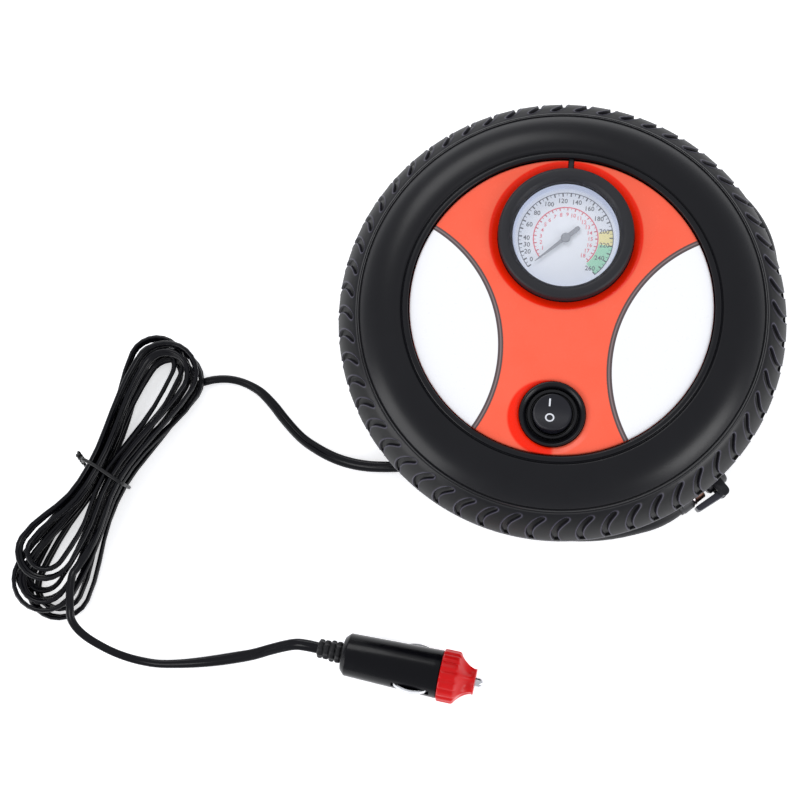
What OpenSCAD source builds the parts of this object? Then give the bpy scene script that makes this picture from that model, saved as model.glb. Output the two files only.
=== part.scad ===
// Portable tyre inflator in a wheel-shaped case, lying on its back, with its
// 12-volt lead bundled beside it. Millimetres, +Z out of the face, +Y towards
// the pressure gauge, origin on the wheel's axis at the floor.

/* [Case] */
// Outer radius of the tread
tread_r = 85; // [80:1:95]
// Height of the tread's widest ring above the floor
tread_z = 28; // [26:1:32]
// Radius of the tread's crown in section
crown_r = 24; // [20:1:30]
// Radius of the tyre's shoulder in section
shoulder_r = 16; // [12:1:18]
// How far the side wall swells out between the shoulder and the bead
side_swell = 1.8; // [0.5:0.1:3]
// Wall thickness of the moulded case
case_wall = 2.8; // [2.4:0.1:3.2]
// Number of tread grooves round the tyre
groove_count = 56; // [40:1:64]
// Width of a tread groove
groove_w = 2.6; // [1.5:0.1:3.2]
// Depth of a tread groove
groove_depth = 1.5; // [0.6:0.1:2]
// Width of the raised bead, from the face panel's edge outwards
bead_w = 3; // [2.4:0.1:4]
// Top of the raised bead above the floor
bead_z = 53.4; // [53:0.1:55]
// Depth of the hose channel, from the tread inwards to the hub
channel_depth = 12.4; // [11.6:0.1:13]
// Wall thickness of the hub
hub_wall = 3; // [2.4:0.1:3.2]
// How far the flange that the case lies on stays inside the tread
flange_in = 3; // [2.8:0.1:5]
// Thickness of the back plate and its flange
flange_t = 2.5; // [2:0.1:3]
// Height of the hose channel between the flange and the tyre
channel_h = 14; // [13.8:0.1:15]
// Thickness of the ring that closes the tyre behind
ring_t = 2.2; // [1.8:0.1:2.6]
// Width of one air slot in the back plate
vent_w = 2.2; // [1:0.1:3]

/* [Face] */
// Radius of the round face panel
panel_r = 55.8; // [54:0.1:56]
// Thickness of the face panel at its rim
panel_t = 3; // [2.4:0.1:3.4]
// How much the panel is higher in its middle
panel_crown = 0.4; // [0:0.1:0.6]
// Radius that rounds the panel's rim
panel_round = 0.7; // [0.4:0.1:1.2]
// Thickness of the moulding's deck under the panel
deck_t = 2.5; // [2:0.1:3]
// Radius of the arc that bounds a side label
label_r = 53; // [48:0.5:56]
// How far outside the panel's edge that arc's centre lies
label_out = 16.9; // [15:0.1:20]
// Height of that arc's centre along the face
label_y = -20.6; // [-26:0.1:-16]
// Width of the border round a label
label_border = 1.3; // [0.6:0.1:2]
// Thickness of a label
label_t = 0.5; // [0.3:0.1:0.8]

/* [Gauge] */
// Distance between the gauge's bezel and the face panel's edge
gauge_rim = 3.9; // [3:0.1:4.5]
// Outer radius of the gauge's bezel
bezel_r = 25.1; // [24.8:0.1:26]
// Radius of the window in the bezel
window_r = 20; // [19:0.1:20.4]
// Height of the bezel's top above the floor
bezel_z = 56; // [54:0.1:58]
// Outer radius of the gauge's cup
cup_r = 21.2; // [20.9:0.1:21.6]
// Depth of the gauge's cup
cup_h = 18.2; // [17.5:0.1:20]
// Thickness of the gauge's lens
lens_t = 1.8; // [1:0.1:2]
// Height of the dial's face above the floor
dial_z = 47.5; // [47:0.1:48]
// Length of the needle from its pivot to its tip
needle_l = 14.5; // [12:0.1:16]
// Direction in which the needle rests, from +X
needle_rest = 222; // [215:1:230]
// Tooth size of the gauge's movement
movement_module = 0.3; // [0.28:0.01:0.32]
// Teeth on the needle's pinion
arbor_teeth = 10; // [9:1:12]
// Teeth that a full circle of the sector would have
sector_teeth = 60; // [54:1:64]

/* [Switch] */
// Distance between the switch's collar and the face panel's edge
switch_rim = 3.2; // [2.8:0.1:4.5]
// Radius of the collar round the switch
collar_r = 12; // [11.4:0.1:13]
// Radius of the switch's flange
switch_flange_r = 9.3; // [9:0.1:9.8]
// Radius of the switch's barrel
barrel_r = 8.3; // [8.2:0.1:8.6]
// Length of the barrel behind the deck
barrel_h = 17; // [14:1:18]
// Radius of the rocker
rocker_r = 7.2; // [6.6:0.1:7.3]
// Tilt of the rocker to each side
rocker_tilt = 12; // [8:1:12]

/* [Drive] */
// Radius of the motor
motor_r = 14; // [12:0.5:14]
// Length of the motor's can
motor_l = 32; // [28:1:33]
// Motor axis, across the case
motor_x = -39; // [-40:0.5:-38.5]
// Motor axis above the floor
motor_z = 18; // [17.5:0.1:18.5]
// Radius of the motor's shaft
motor_shaft_r = 1.5; // [1.2:0.1:1.6]
// Crank axis above the floor
crank_z = 22; // [21.5:0.1:22.5]
// Tooth size of the drive gears
gear_module = 0.7; // [0.66:0.01:0.7]
// Teeth on the motor's pinion
pinion_teeth = 12; // [11:1:13]
// Teeth on the crank gear
gear_teeth = 48; // [44:1:48]
// Width of the drive gears
gear_w = 5; // [3:0.5:5]
// Thickness of the cast drive frame
frame_t = 3.5; // [3:0.5:4]
// Side of the drive frame's plate that the motor is screwed to
frame_y = 1; // [0:0.1:1.5]
// Radius of the crankshaft
crank_shaft_r = 3; // [2.5:0.1:3.5]
// Half the stroke of the piston
crank_throw = 6; // [5:0.5:6]
// Radius of the crank pin
crank_pin_r = 2; // [1.6:0.1:2.4]

/* [Compressor] */
// Length of the connecting rod between its pins
rod_l = 29; // [28.5:0.5:30]
// Thickness of the connecting rod
rod_t = 4; // [3:0.1:4.4]
// Radius of the wrist pin
wrist_pin_r = 1.7; // [1.4:0.1:2]
// Bore radius of the cylinder
bore_r = 9; // [8:0.1:9]
// Wall thickness of the cylinder
cylinder_wall = 1.5; // [1:0.1:1.5]
// Radius of the cylinder's fins
fin_r = 13; // [12:0.1:13]
// Number of fins
fin_count = 5; // [3:1:6]
// Length of the piston
piston_l = 10.5; // [10:0.1:11]
// Half the width of the square head
head_half = 13.2; // [13:0.1:13.6]
// Length of the cylinder head
head_l = 7.5; // [6:0.5:8]

/* [Air hose] */
// Outer diameter of the air hose
hose_d = 8; // [7:0.1:8.4]
// Inner diameter of the air hose
hose_bore_d = 5; // [4:0.1:5.4]
// Height of the hose's axis above the floor
hose_z = 11.5; // [11.4:0.1:11.7]
// Bend radius where the hose comes out of the hub
hose_bend_r = 38; // [36:1:39]

/* [Chuck] */
// Length of the chuck beyond the hose
chuck_l = 17; // [16:0.5:18]
// Radius of the chuck's nozzle
nozzle_r = 4.7; // [4.6:0.05:4.75]
// Length of the chuck's nozzle
nozzle_l = 9; // [8:0.1:10]
// Radius of the mouth that takes a valve stem
mouth_r = 3.9; // [3.8:0.05:4]
// Depth of the mouth
mouth_l = 6; // [5:0.1:6.5]
// Thickness of the chuck's lever
lever_t = 3; // [2.4:0.1:3.4]
// Width of the chuck's lever
lever_w = 7; // [5:0.1:8]

/* [Power lead] */
// Width of the lead
cord_d = 3; // [2.6:0.1:3.2]
// Number of loops in the hank
hank_loops = 8; // [4:4:12]
// Length of the hank from tip to tip
hank_l = 120; // [110:1:130]
// Radius of the hank's two lobes
lobe_r = 13.5; // [12.5:0.1:15]
// Distance between neighbouring strands
strand_step = 3.45; // [3.45:0.01:3.6]
// Thickness of the wire tie
tie_t = 1; // [0.8:0.1:1.4]

/* [Plug] */
// Radius of the plug's barrel
plug_r = 9.2; // [8.6:0.1:9.6]
// Length of the plug's barrel
plug_barrel_l = 38; // [36:1:40]
// Largest radius of the plug's cap
cap_r = 10; // [9.8:0.1:10.4]
// Length of the plug's cap
cap_l = 13.6; // [12:0.1:15]
// Radius of the centre pin
pin_r = 2; // [1.6:0.1:2.4]
// How far the centre pin stands out of the cap
pin_out = 3.4; // [3.2:0.1:4]
// Travel of the centre pin
pin_travel = 3; // [2:0.1:3]
// Radius of the fuse
fuse_r = 3.1; // [2.5:0.1:3.3]
// Length of the fuse
fuse_l = 30; // [25:1:31]

/* [Fits] */
// Clearance between pieces that are fitted together
fit_gap = 0.3; // [0.2:0.05:0.4]
// Radial clearance of a shaft or pin that turns
running_gap = 0.05; // [0.03:0.01:0.09]
// Radius of the case and frame screws
screw_r = 1.5; // [1.3:0.1:1.6]

/* [Hidden] */
$fn = 64;

black = [0.13, 0.13, 0.15];
soft_black = [0.09, 0.09, 0.1];
orange = [0.96, 0.3, 0.13];
white = [0.95, 0.95, 0.95];
brass = [0.78, 0.62, 0.32];
steel = [0.72, 0.73, 0.75];
alloy = [0.8, 0.8, 0.82];
red = [0.86, 0.1, 0.08];
clear = [0.85, 0.92, 0.95, 0.35];

// ---- heights and radii of the case ----
bead_r = panel_r + bead_w;
hub_r = tread_r - channel_depth;
flange_r = tread_r - flange_in;
ring_r = tread_r - 2.8;
spigot_h = 5;
spigot_t = 2.4;
lip_h = 3;
lip_t = 2;
channel_top = flange_t + channel_h;
ring_top = channel_top + ring_t;
seat_r = panel_r + 0.4;
seat_z = bead_z - 4.4;
deck_z = seat_z - deck_t;
bead_t = 0.7;
edge_bevel = 0.8;
crown_high = 31;
ring_fall = tread_z - ring_top;
shoulder_end = 62;
step_in = 0.6;
step_up = 0.8;
crown_c = [tread_r - crown_r, tread_z];
shoulder_c = crown_c + (crown_r - shoulder_r) * [cos(crown_high), sin(crown_high)];
shoulder_tip = shoulder_c + shoulder_r * [cos(shoulder_end), sin(shoulder_end)];

// ---- tread grooves: an S wave that leans over as it runs down the tread ----
groove_sway = 1.8;
groove_period = 22;
groove_lean = 0.14;
groove_steps = 12;
groove_top = shoulder_tip[1] - 0.8;
groove_run = groove_top - ring_top + 1;

// ---- face ----
gauge_y = panel_r - gauge_rim - bezel_r;
switch_y = switch_rim + collar_r - panel_r;
label_x = panel_r + label_out;
gauge_at = [0, gauge_y, 0];
switch_at = [0, switch_y, 0];
panel_top = seat_z + panel_t;
bevel_h = 1.4;
bezel_bevel = 3.6;
collar_bevel = 3.2;
bridge_w = 1.6;
label_floor = panel_top - label_t + 0.15;

// ---- gauge ----
cup_top = seat_z + 1.2;
cup_floor = cup_top - cup_h;
cup_wall = 1.4;
cup_bore = cup_r + fit_gap;
lens_top = cup_top + lens_t;
dial_t = 0.5;
needle_z = dial_z + 0.8;
needle_t = 0.6;
arbor_r = 0.8;
arbor_pitch = movement_module * arbor_teeth / 2;
sector_pitch = movement_module * sector_teeth / 2;
sector_at = [0, gauge_y - arbor_pitch - sector_pitch, 0];
movement_z = cup_floor + 6;
sector_t = 1.2;
sector_tail = 2.2;
tube_r = 14.2;
socket_y = gauge_y - tube_r;
tube_w = 4.6;
tube_t = 1.4;
ear_reach = 3.8;
ear_t = 2.2;
gauge_screw_at = cup_r + 2.2;
gauge_screw_r = 0.9;
gauge_head_h = 1.4;
line_r = 1.9;
line_z = cup_floor - 4;

// ---- switch ----
switch_top = seat_z + 2.4;
rocker_z = seat_z + 0.6;
rocker_top = 3;
rocker_dip = 1.2;
barrel_wall = 0.7;
rocker_pin_r = 0.9;

// ---- drive ----
gear_pitch = gear_module * gear_teeth / 2;
pinion_pitch = gear_module * pinion_teeth / 2;
gear_distance = gear_pitch + pinion_pitch;
gear_rise = asin((crank_z - motor_z) / gear_distance);
crank_x = motor_x + gear_distance * cos(gear_rise);
plate_front = frame_y - frame_t;
gear_y = plate_front - 0.7 - gear_w;
bearing_r = crank_shaft_r + 2.5;
rod_y = gear_y - 2 * fit_gap - rod_t / 2;
rod_reach = sqrt(rod_l * rod_l - crank_throw * crank_throw);
rod_tilt = asin(crank_throw / rod_l);
wrist_x = crank_x + rod_reach;
crown_x = wrist_x + piston_l - 4;
bore_end = crown_x + crank_x + crank_throw + rod_l - wrist_x + 0.9;
wall_x = 0;
wall_t = 3;
valve_t = 1.5;
head_x = bore_end + valve_t;
head_end = head_x + head_l;
head_screw = head_half - 2.6;
foot_z = flange_t + 2.5;
foot_t = 2.5;
frame_top = crank_z + 16;
cap_step = 1.4;
cap_rim = 3;
cap_dome = 4;
cap_boss_h = 5.4;
cap_boss_r = 3.4;
tag_x = 8;
tag_l = 6;
motor_screw_x = 8.5;
motor_head_r = 2.5;
motor_head_h = 1.6;

// ---- hose: bends and straights in one level plane, as [bend radius or 0, angle or length] ----
hose_r = hose_d / 2;
wrap_r = hub_r + fit_gap + hose_r + 0.1;
hose_start = head_end + 2;
hose_lead_in = 6;
hose_centre = [hose_start + hose_lead_in, rod_y + hose_bend_r];
hose_turn = atan2(hose_centre[1], hose_centre[0]) + 180
    - asin((wrap_r - hose_bend_r) / norm(hose_centre));
hose_away = -(hose_centre[0] * cos(hose_turn) + hose_centre[1] * sin(hose_turn));
hose_leaves = 259;
hose_slim = 0.02;
hose_lap = 0.5;
hose_steps = [[0, hose_lead_in], [hose_bend_r, hose_turn], [0, hose_away],
    [wrap_r, hose_leaves + 90 - hose_turn], [0, 8], [wrap_r, 30], [0, 4.55],
    [33, 24], [0, 5.15]];
hose_from = [hose_start, rod_y];
hose_end = chain_end(hose_steps, hose_from, 0);
chuck_at = [hose_end[0][0], hose_end[0][1], hose_z];
chuck_turn = hose_end[1];
seal_t = 1.6;
seal_r = 3.2;
lever_pivot = [chuck_l - nozzle_l / 2, nozzle_r + fit_gap + lever_t / 2 + 0.4];

// ---- lead: where it leaves the hub, and the points that its free stretches follow ----
cord_r = cord_d / 2;
lead_y = -58;
lead_exit = [-sqrt(hub_r * hub_r - lead_y * lead_y) - 0.33, lead_y, 4.8];
relief_l = 8;
lead_route = [[-29, -58, 4.8], [-36, -58, 4.8], [-44, -58, 4.8], [-52, -58, 4.8],
    [-58, -58.1, 4.6], [-64, -58.5, 3.8], [-71, -58.6, 2.6], [-78, -57.9, 1.8], [-85, -56.2, 1.5],
    [-92, -53.3, 1.5], [-99, -49.2, 1.5], [-106, -42.9, 1.5], [-112, -36.6, 1.5],
    [-118, -31.6, 1.5], [-125, -28.6, 1.5], [-131.5, -27.7, 1.5], [-138, -28.6, 1.5]];
tail_route = [[-181.4, -124.6, 11.9], [-180.8, -128.6, 10.8], [-178.6, -132.1, 9.1],
    [-174.9, -135.1, 7.3], [-170.2, -137.6, 5.6], [-164.6, -139.9, 4], [-158.5, -141.6, 2.7],
    [-152, -142.6, 1.9], [-146, -142.9, 1.5], [-139, -142.3, 1.5], [-131, -141.1, 1.5],
    [-123, -139.5, 1.9], [-115, -137.6, 2.8], [-108.5, -135.9, 4.2], [-102, -133.6, 6.2],
    [-96, -131.7, 8.3], [-91.5, -130.7, 9.6], [-87.5, -130.75, 10], [-82.8, -131.3, 10],
    [-70.9, -132.74, 10]];

// ---- hank: loops of one unbroken strand, drawn in at the waist ----
hank_centre = [-175, -71, 0];
hank_axis = 67;
hank_rings = 24;
hank_layers = 4;
hank_sides = 6;
layer_turns = hank_loops / hank_layers;
waist_half = (layer_turns + 0.2) * strand_step;
lobe_u = hank_l / 2 - cord_r - lobe_r;
tie_lift = tie_t + 0.35;
// how far each layer's upper and lower lobes are pushed along the hank and across it
far_push = [[1, -1], [0, 3.5], [3, -3.5], [1, 2]];
near_push = [[2, 4], [0, -3], [2, -1], [-8, -4.5]];
push_along = [0, 50];
push_across = [14, 50];

// ---- plug ----
plug_rear = [-82.8, -131.3, cap_r];
plug_turn = -6.9;
plug_roll = -30;
barrel_taper = 1;
barrel_bevel = 1.8;
plug_relief_l = 10;
barrel_end = plug_relief_l + plug_barrel_l;
cap_end = barrel_end + cap_l;
cap_bore = fuse_r + 0.9;
cap_band = 6.4;
nose_r = 5;
flute_count = 12;
flute_r = 2;
pin_seat = cap_end - 1.8;
pin_flange_t = 1.5;
fuse_rear = pin_seat - pin_flange_t - 0.1 - fuse_l;
spring_rear = plug_relief_l + 4;
spring_d = 6;
spring_wire = 0.8;
spring_turns = 6;
spring_rings = 12;
contact_l = 14;
contact_w = 1.8;
contact_t = 0.7;
contact_swell = 2.6;
contact_seat = 1.2;
contact_back = 3;

// ---- air slots and fasteners ----
vent_pitch = 5;
vent_y = 24;
vent_reach = 24;
column_turns = [45, 119.5, 247.8, 305];
column_at = hub_r - 11.7;
column_spots = [for (turn = column_turns) column_at * [cos(turn), sin(turn)]];
column_r = 4.4;
column_gap = 3;
column_sink = 4.2;
column_bore_h = 14;
head_seat_z = 8;
screw_head_r = 2 * screw_r;
screw_head_h = 2.4;
cover_screw_l = 26;
foot_r = 3.6;
frame_head_h = 2;
frame_screw_grip = 3.5;
foot_spots = [[-47, -9], [7.5, -20.5], [7.5, 2]];

// ================= shared shapes =================
function arc(centre, radius, from, to, steps) = [for (i = [0 : steps])
    centre + radius * [cos(from + (to - from) * i / steps), sin(from + (to - from) * i / steps)]];
function swell(a, b, height, steps) = [for (i = [0 : steps])
    let (t = i / steps, across = [b[1] - a[1], a[0] - b[0]] / norm(b - a))
    a + (b - a) * t + across * 4 * height * t * (1 - t)];
function reversed(list) = [for (i = [len(list) - 1 : -1 : 0]) list[i]];
function chain_end(steps, at, heading, i = 0) = i == len(steps) ? [at, heading]
    : steps[i][0] == 0
    ? chain_end(steps, at + steps[i][1] * [cos(heading), sin(heading)], heading, i + 1)
    : chain_end(steps, at + steps[i][0] * [sin(heading + steps[i][1]) - sin(heading),
        cos(heading) - cos(heading + steps[i][1])], heading + steps[i][1], i + 1);

// Involute gear outline, centred on the origin with a tooth on +X
pressure = 20;
backlash = 0.06;
function involute(angle) = tan(angle) * 180 / PI - angle;
function tooth_half(teeth, pitch, radius) =
    let (base = pitch * cos(pressure), slope = acos(min(1, base / max(radius, base))))
    90 / teeth * (1 - backlash) + involute(pressure) - involute(slope);
function tooth_side(teeth, module_size, pitch) = [for (radius = [pitch - 1.2 * module_size,
    pitch - 0.4 * module_size, pitch + 0.3 * module_size, pitch + 0.95 * module_size])
    [radius, tooth_half(teeth, pitch, radius)]];
function gear_teeth_outline(teeth, module_size, first, last) =
    let (pitch = teeth * module_size / 2, side = tooth_side(teeth, module_size, pitch))
    [for (i = [first : last]) each concat(
        [for (p = side) p[0] * [cos(i * 360 / teeth - p[1]), sin(i * 360 / teeth - p[1])]],
        [for (p = reversed(side)) p[0] * [cos(i * 360 / teeth + p[1]), sin(i * 360 / teeth + p[1])]])];

// Tube swept along points, with level sides
function unit(v) = v / norm(v);
function heading(path, i) = unit(path[min(i + 1, len(path) - 1)] - path[max(i - 1, 0)]);
function ring_points(path, i, radius, sides) =
    let (ahead = heading(path, i), side = unit(cross(ahead, [0, 0, 1])), up = cross(side, ahead))
    [for (k = [0 : sides - 1]) path[i] + radius * (cos(360 * k / sides) * side
        + sin(360 * k / sides) * up)];
module swept_tube(path, radius, sides) {
    last = len(path) - 1;
    points = [for (i = [0 : last]) each ring_points(path, i, radius, sides)];
    start_cap = [for (k = [1 : sides - 2]) [0, k, k + 1]];
    end_cap = [for (k = [1 : sides - 2]) [last * sides, last * sides + k + 1, last * sides + k]];
    walls = [for (i = [0 : last - 1]) for (k = [0 : sides - 1])
        let (a = i * sides + k, b = i * sides + (k + 1) % sides)
        each [[a, a + sides, b], [b, a + sides, b + sides]]];
    polyhedron(points = points, faces = concat(start_cap, end_cap, walls));
}

module hose_ring(outer, inner) {
    difference() {
        circle(r = outer);
        circle(r = inner);
    }
}

// Level hose of bends and straights in turn; a straight is a hair slimmer and laps into its bends
module hose_run(steps, outer, inner, i = 0) {
    if (i < len(steps)) {
        bend = steps[i][0];
        if (bend == 0) {
            back = i > 0 ? hose_lap : 0;
            ahead = i < len(steps) - 1 ? hose_lap : 0;
            translate([-back, 0, 0]) rotate([0, 90, 0])
                linear_extrude(height = steps[i][1] + back + ahead)
                    hose_ring(outer - hose_slim, inner + hose_slim);
            translate([steps[i][1], 0, 0]) hose_run(steps, outer, inner, i + 1);
        } else {
            translate([0, bend, 0]) rotate([0, 0, -90])
                rotate_extrude(angle = steps[i][1]) translate([bend, 0]) hose_ring(outer, inner);
            translate([0, bend, 0]) rotate([0, 0, steps[i][1]]) translate([0, -bend, 0])
                hose_run(steps, outer, inner, i + 1);
        }
    }
}

module rounded_square(half, round_r) {
    square([2 * half, 2 * (half - round_r)], center = true);
    square([2 * (half - round_r), 2 * half], center = true);
    for (x = [-1, 1]) for (y = [-1, 1])
        translate([x * (half - round_r), y * (half - round_r)]) circle(r = round_r);
}

// Screw that stands on z = 0 with its head downwards
module screw(length, head_r, head_h) {
    difference() {
        cylinder(h = head_h, r = head_r);
        translate([0, 0, -1]) cylinder(h = head_h / 2 + 1, r = head_r * 0.45, $fn = 6);
    }
    translate([0, 0, head_h * 0.6]) cylinder(h = length - head_h * 0.6, r = screw_r);
}

module at_motor() {
    translate([motor_x, 0, motor_z]) rotate([-90, 0, 0]) children();
}
module at_crank() {
    translate([crank_x, 0, crank_z]) rotate([-90, 0, 0]) children();
}
module at_bore(x) {
    translate([x, rod_y, crank_z]) rotate([0, 90, 0]) children();
}
module at_chuck(along) {
    translate(chuck_at) rotate([0, 0, chuck_turn]) translate([along, 0, 0])
        rotate([0, 90, 0]) children();
}
module at_plug(along) {
    translate(plug_rear) rotate([0, 0, plug_turn]) rotate([plug_roll, 0, 0])
        translate([along, 0, 0]) rotate([0, 90, 0]) children();
}

// ================= case =================
function side_start() = shoulder_tip + [-step_in, step_up];
function side_end() = [bead_r, bead_z - bead_t];
function crown_arc(inset) = arc(crown_c, crown_r - inset, crown_high,
    -asin(ring_fall / (crown_r - inset)), 8);
function shoulder_arc(inset) = arc(shoulder_c, shoulder_r - inset, shoulder_end, crown_high, 5);

module tyre_section() {
    outside = concat(
        [[0, seat_z], [seat_r, seat_z], [seat_r, bead_z - edge_bevel],
         [seat_r + edge_bevel, bead_z], [bead_r, bead_z]],
        swell(side_end(), side_start(), -side_swell, 6),
        shoulder_arc(0), crown_arc(0));
    inside = concat(
        [[0, deck_z], [bead_r - 1, deck_z]],
        swell(side_end() - [0, case_wall], shoulder_arc(case_wall)[0], -side_swell, 6),
        shoulder_arc(case_wall), crown_arc(case_wall));
    polygon(concat(outside, reversed(inside)));
}

module groove_band() {
    rotate_extrude() polygon(concat(
        arc(shoulder_c, shoulder_r - groove_depth, shoulder_end, crown_high, 3),
        arc(crown_c, crown_r - groove_depth, crown_high, -asin(ring_fall / crown_r) - 4, 6),
        [[tread_r + 2, ring_top - 2], [tread_r + 2, shoulder_tip[1] + 2],
         [shoulder_tip[0], shoulder_tip[1] + 2]]));
}

module groove_outline() {
    places = [for (i = [0 : groove_steps]) i / groove_steps * groove_run];
    half = [for (q = places) groove_w / 2 * min(1, 0.4 + q / 7)];
    line = [for (q = places) -groove_lean * q - groove_sway * sin(360 * (q - 1.5) / groove_period)];
    last = groove_steps;
    polygon(concat(
        [for (i = [0 : last]) [line[i] - half[i], groove_top - places[i]]],
        [for (i = [last : -1 : 0]) [line[i] + half[i], groove_top - places[i]]]));
}

module tread_grooves() {
    intersection() {
        groove_band();
        for (i = [0 : groove_count - 1]) rotate([0, 0, i * 360 / groove_count])
            translate([shoulder_tip[0] - 4, 0, 0]) rotate([90, 0, 90])
                linear_extrude(height = tread_r - shoulder_tip[0] + 8) groove_outline();
    }
}

module bezel() {
    rotate_extrude() polygon(concat(
        [[cup_bore, deck_z], [bezel_r, deck_z]],
        arc([bezel_r - 1.6, bezel_z - 1.6], 1.6, 0, 90, 4),
        [[window_r + 1.2, bezel_z], [window_r, bezel_z - 1.4], [window_r, lens_top],
         [cup_bore, lens_top]]));
}

module switch_collar() {
    rotate_extrude() polygon([[switch_flange_r + fit_gap, seat_z], [collar_r, seat_z],
        [collar_r, panel_top - 0.4], [collar_r - 0.6, panel_top],
        [collar_r - 1, panel_top], [switch_flange_r + fit_gap, seat_z + 1.2]]);
}

module case_column(from, to) {
    translate([0, 0, from]) cylinder(h = to - from, r = column_r);
}

module tyre_shell() color(black) difference() {
    union() {
        difference() {
            rotate_extrude() tyre_section();
            tread_grooves();
        }
        translate(gauge_at) bezel();
        translate(switch_at) switch_collar();
        translate([-bridge_w / 2, gauge_y + bezel_r - 1, seat_z])
            cube([bridge_w, seat_r - gauge_y - bezel_r + 2, panel_t]);
        for (spot = column_spots) translate(spot)
            case_column(ring_top + column_gap, deck_z + column_sink);
    }
    translate([0, gauge_y, deck_z - 1]) cylinder(h = deck_t + 2, r = cup_bore);
    translate([0, switch_y, deck_z - 1]) cylinder(h = deck_t + 2, r = barrel_r + fit_gap);
    for (spot = column_spots) translate([spot[0], spot[1], ring_top])
        cylinder(h = column_bore_h, r = screw_r);
    for (turn = [30, 150, 270]) translate(gauge_at) rotate([0, 0, turn])
        translate([gauge_screw_at, 0, deck_z - 1]) cylinder(h = deck_t + 0.9, r = gauge_screw_r);
}

module label_shape(side, grow, thickness) {
    intersection() {
        cylinder(h = thickness, r = panel_r - panel_round + grow);
        translate([side * label_x, label_y, 0])
            cylinder(h = thickness, r = label_r + label_border + grow);
    }
}

module front_panel() color(orange) difference() {
    rotate_extrude() polygon(concat(
        [[0, seat_z]], [[panel_r, seat_z]],
        arc([panel_r - panel_round, panel_top - panel_round], panel_round, 0, 90, 4),
        [for (i = [4 : -1 : 0]) let (r = (panel_r - panel_round) * i / 5)
            [r, panel_top + panel_crown * (1 - pow(r / (panel_r - panel_round), 2))]]));
    translate([0, gauge_y, seat_z - 1]) cylinder(h = panel_t + 3, r = bezel_r + fit_gap);
    translate([0, gauge_y, panel_top - bevel_h + panel_crown])
        cylinder(h = bevel_h + 0.01, r1 = bezel_r + fit_gap, r2 = bezel_r + bezel_bevel);
    translate([0, switch_y, seat_z - 1]) cylinder(h = panel_t + 3, r = collar_r + fit_gap);
    translate([0, switch_y, panel_top - bevel_h + panel_crown * 0.5])
        cylinder(h = bevel_h + 1, r1 = collar_r + fit_gap, r2 = collar_r + collar_bevel * 1.7);
    translate([-bridge_w / 2 - fit_gap, gauge_y + bezel_r - 1, seat_z - 1])
        cube([bridge_w + 2 * fit_gap, panel_r, panel_t + 3]);
    for (side = [-1, 1]) translate([0, 0, label_floor]) label_shape(side, 0.15, panel_t);
}

module side_labels() color(white) translate([0, 0, label_floor])
    for (side = [-1, 1]) label_shape(side, 0, label_t);

module hose_way() {
    translate([hose_start, rod_y, hose_z]) {
        rotate([0, 90, 0]) cylinder(h = hose_lead_in, r = hose_r + fit_gap);
        translate([hose_lead_in, hose_bend_r, 0]) rotate([0, 0, -90])
            rotate_extrude(angle = hose_turn) translate([hose_bend_r, 0]) circle(r = hose_r + fit_gap);
    }
}

module hub_ring() color(black) difference() {
    spigot_r = hub_r - hub_wall - fit_gap;
    lip_r = crown_c[0] + sqrt(pow(crown_r - case_wall, 2) - pow(ring_fall, 2)) - fit_gap;
    rotate_extrude() polygon([[spigot_r - spigot_t, channel_top - spigot_h],
        [spigot_r, channel_top - spigot_h], [spigot_r, channel_top], [ring_r, channel_top],
        [ring_r, ring_top], [lip_r, ring_top], [lip_r, ring_top + lip_h],
        [lip_r - lip_t, ring_top + lip_h], [lip_r - lip_t, ring_top],
        [spigot_r - spigot_t, ring_top]]);
    hose_way();
}

module back_vents() {
    for (i = [-4 : 4]) {
        reach = vent_reach - 0.6 * i * i;
        translate([i * vent_pitch, vent_y, -1]) translate([-vent_w / 2, -reach / 2, 0])
            cube([vent_w, reach, flange_t + 2]);
        for (end = [-1, 1]) translate([i * vent_pitch, vent_y + end * reach / 2, -1])
            cylinder(h = flange_t + 2, r = vent_w / 2);
    }
}

module rear_cover() color(black) difference() {
    union() {
        rotate_extrude() polygon(concat([[0, 0], [flange_r - 1, 0]],
            arc([flange_r - 1.2, flange_t / 2], flange_t / 2, -60, 60, 4),
            [[flange_r - 1, flange_t], [hub_r, flange_t], [hub_r, channel_top],
             [hub_r - hub_wall, channel_top], [hub_r - hub_wall, flange_t], [0, flange_t]]));
        for (spot = column_spots) translate(spot)
            case_column(flange_t / 2, ring_top + column_gap);
        for (spot = foot_spots) translate([spot[0], spot[1], flange_t / 2])
            cylinder(h = foot_z - flange_t / 2, r = foot_r);
    }
    back_vents();
    hose_way();
    translate([lead_exit[0] + 12, lead_exit[1], lead_exit[2]]) rotate([0, -90, 0])
        cylinder(h = 24, r = cord_r + 0.5);
    for (spot = column_spots) {
        translate([spot[0], spot[1], -1])
            cylinder(h = ring_top + column_gap + 2, r = screw_r + fit_gap);
        translate([spot[0], spot[1], -1])
            cylinder(h = head_seat_z + 1, r = screw_head_r + fit_gap);
    }
    for (spot = foot_spots) translate([spot[0], spot[1], foot_z - 4])
        cylinder(h = 5, r = screw_r);
}

module cover_screws() color(steel) for (spot = column_spots)
    translate([spot[0], spot[1], head_seat_z - screw_head_h])
        screw(cover_screw_l, screw_head_r, screw_head_h);

// ================= gauge =================
module gauge_lens() color(clear) translate([0, gauge_y, cup_top])
    cylinder(h = lens_t, r = cup_r);

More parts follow.
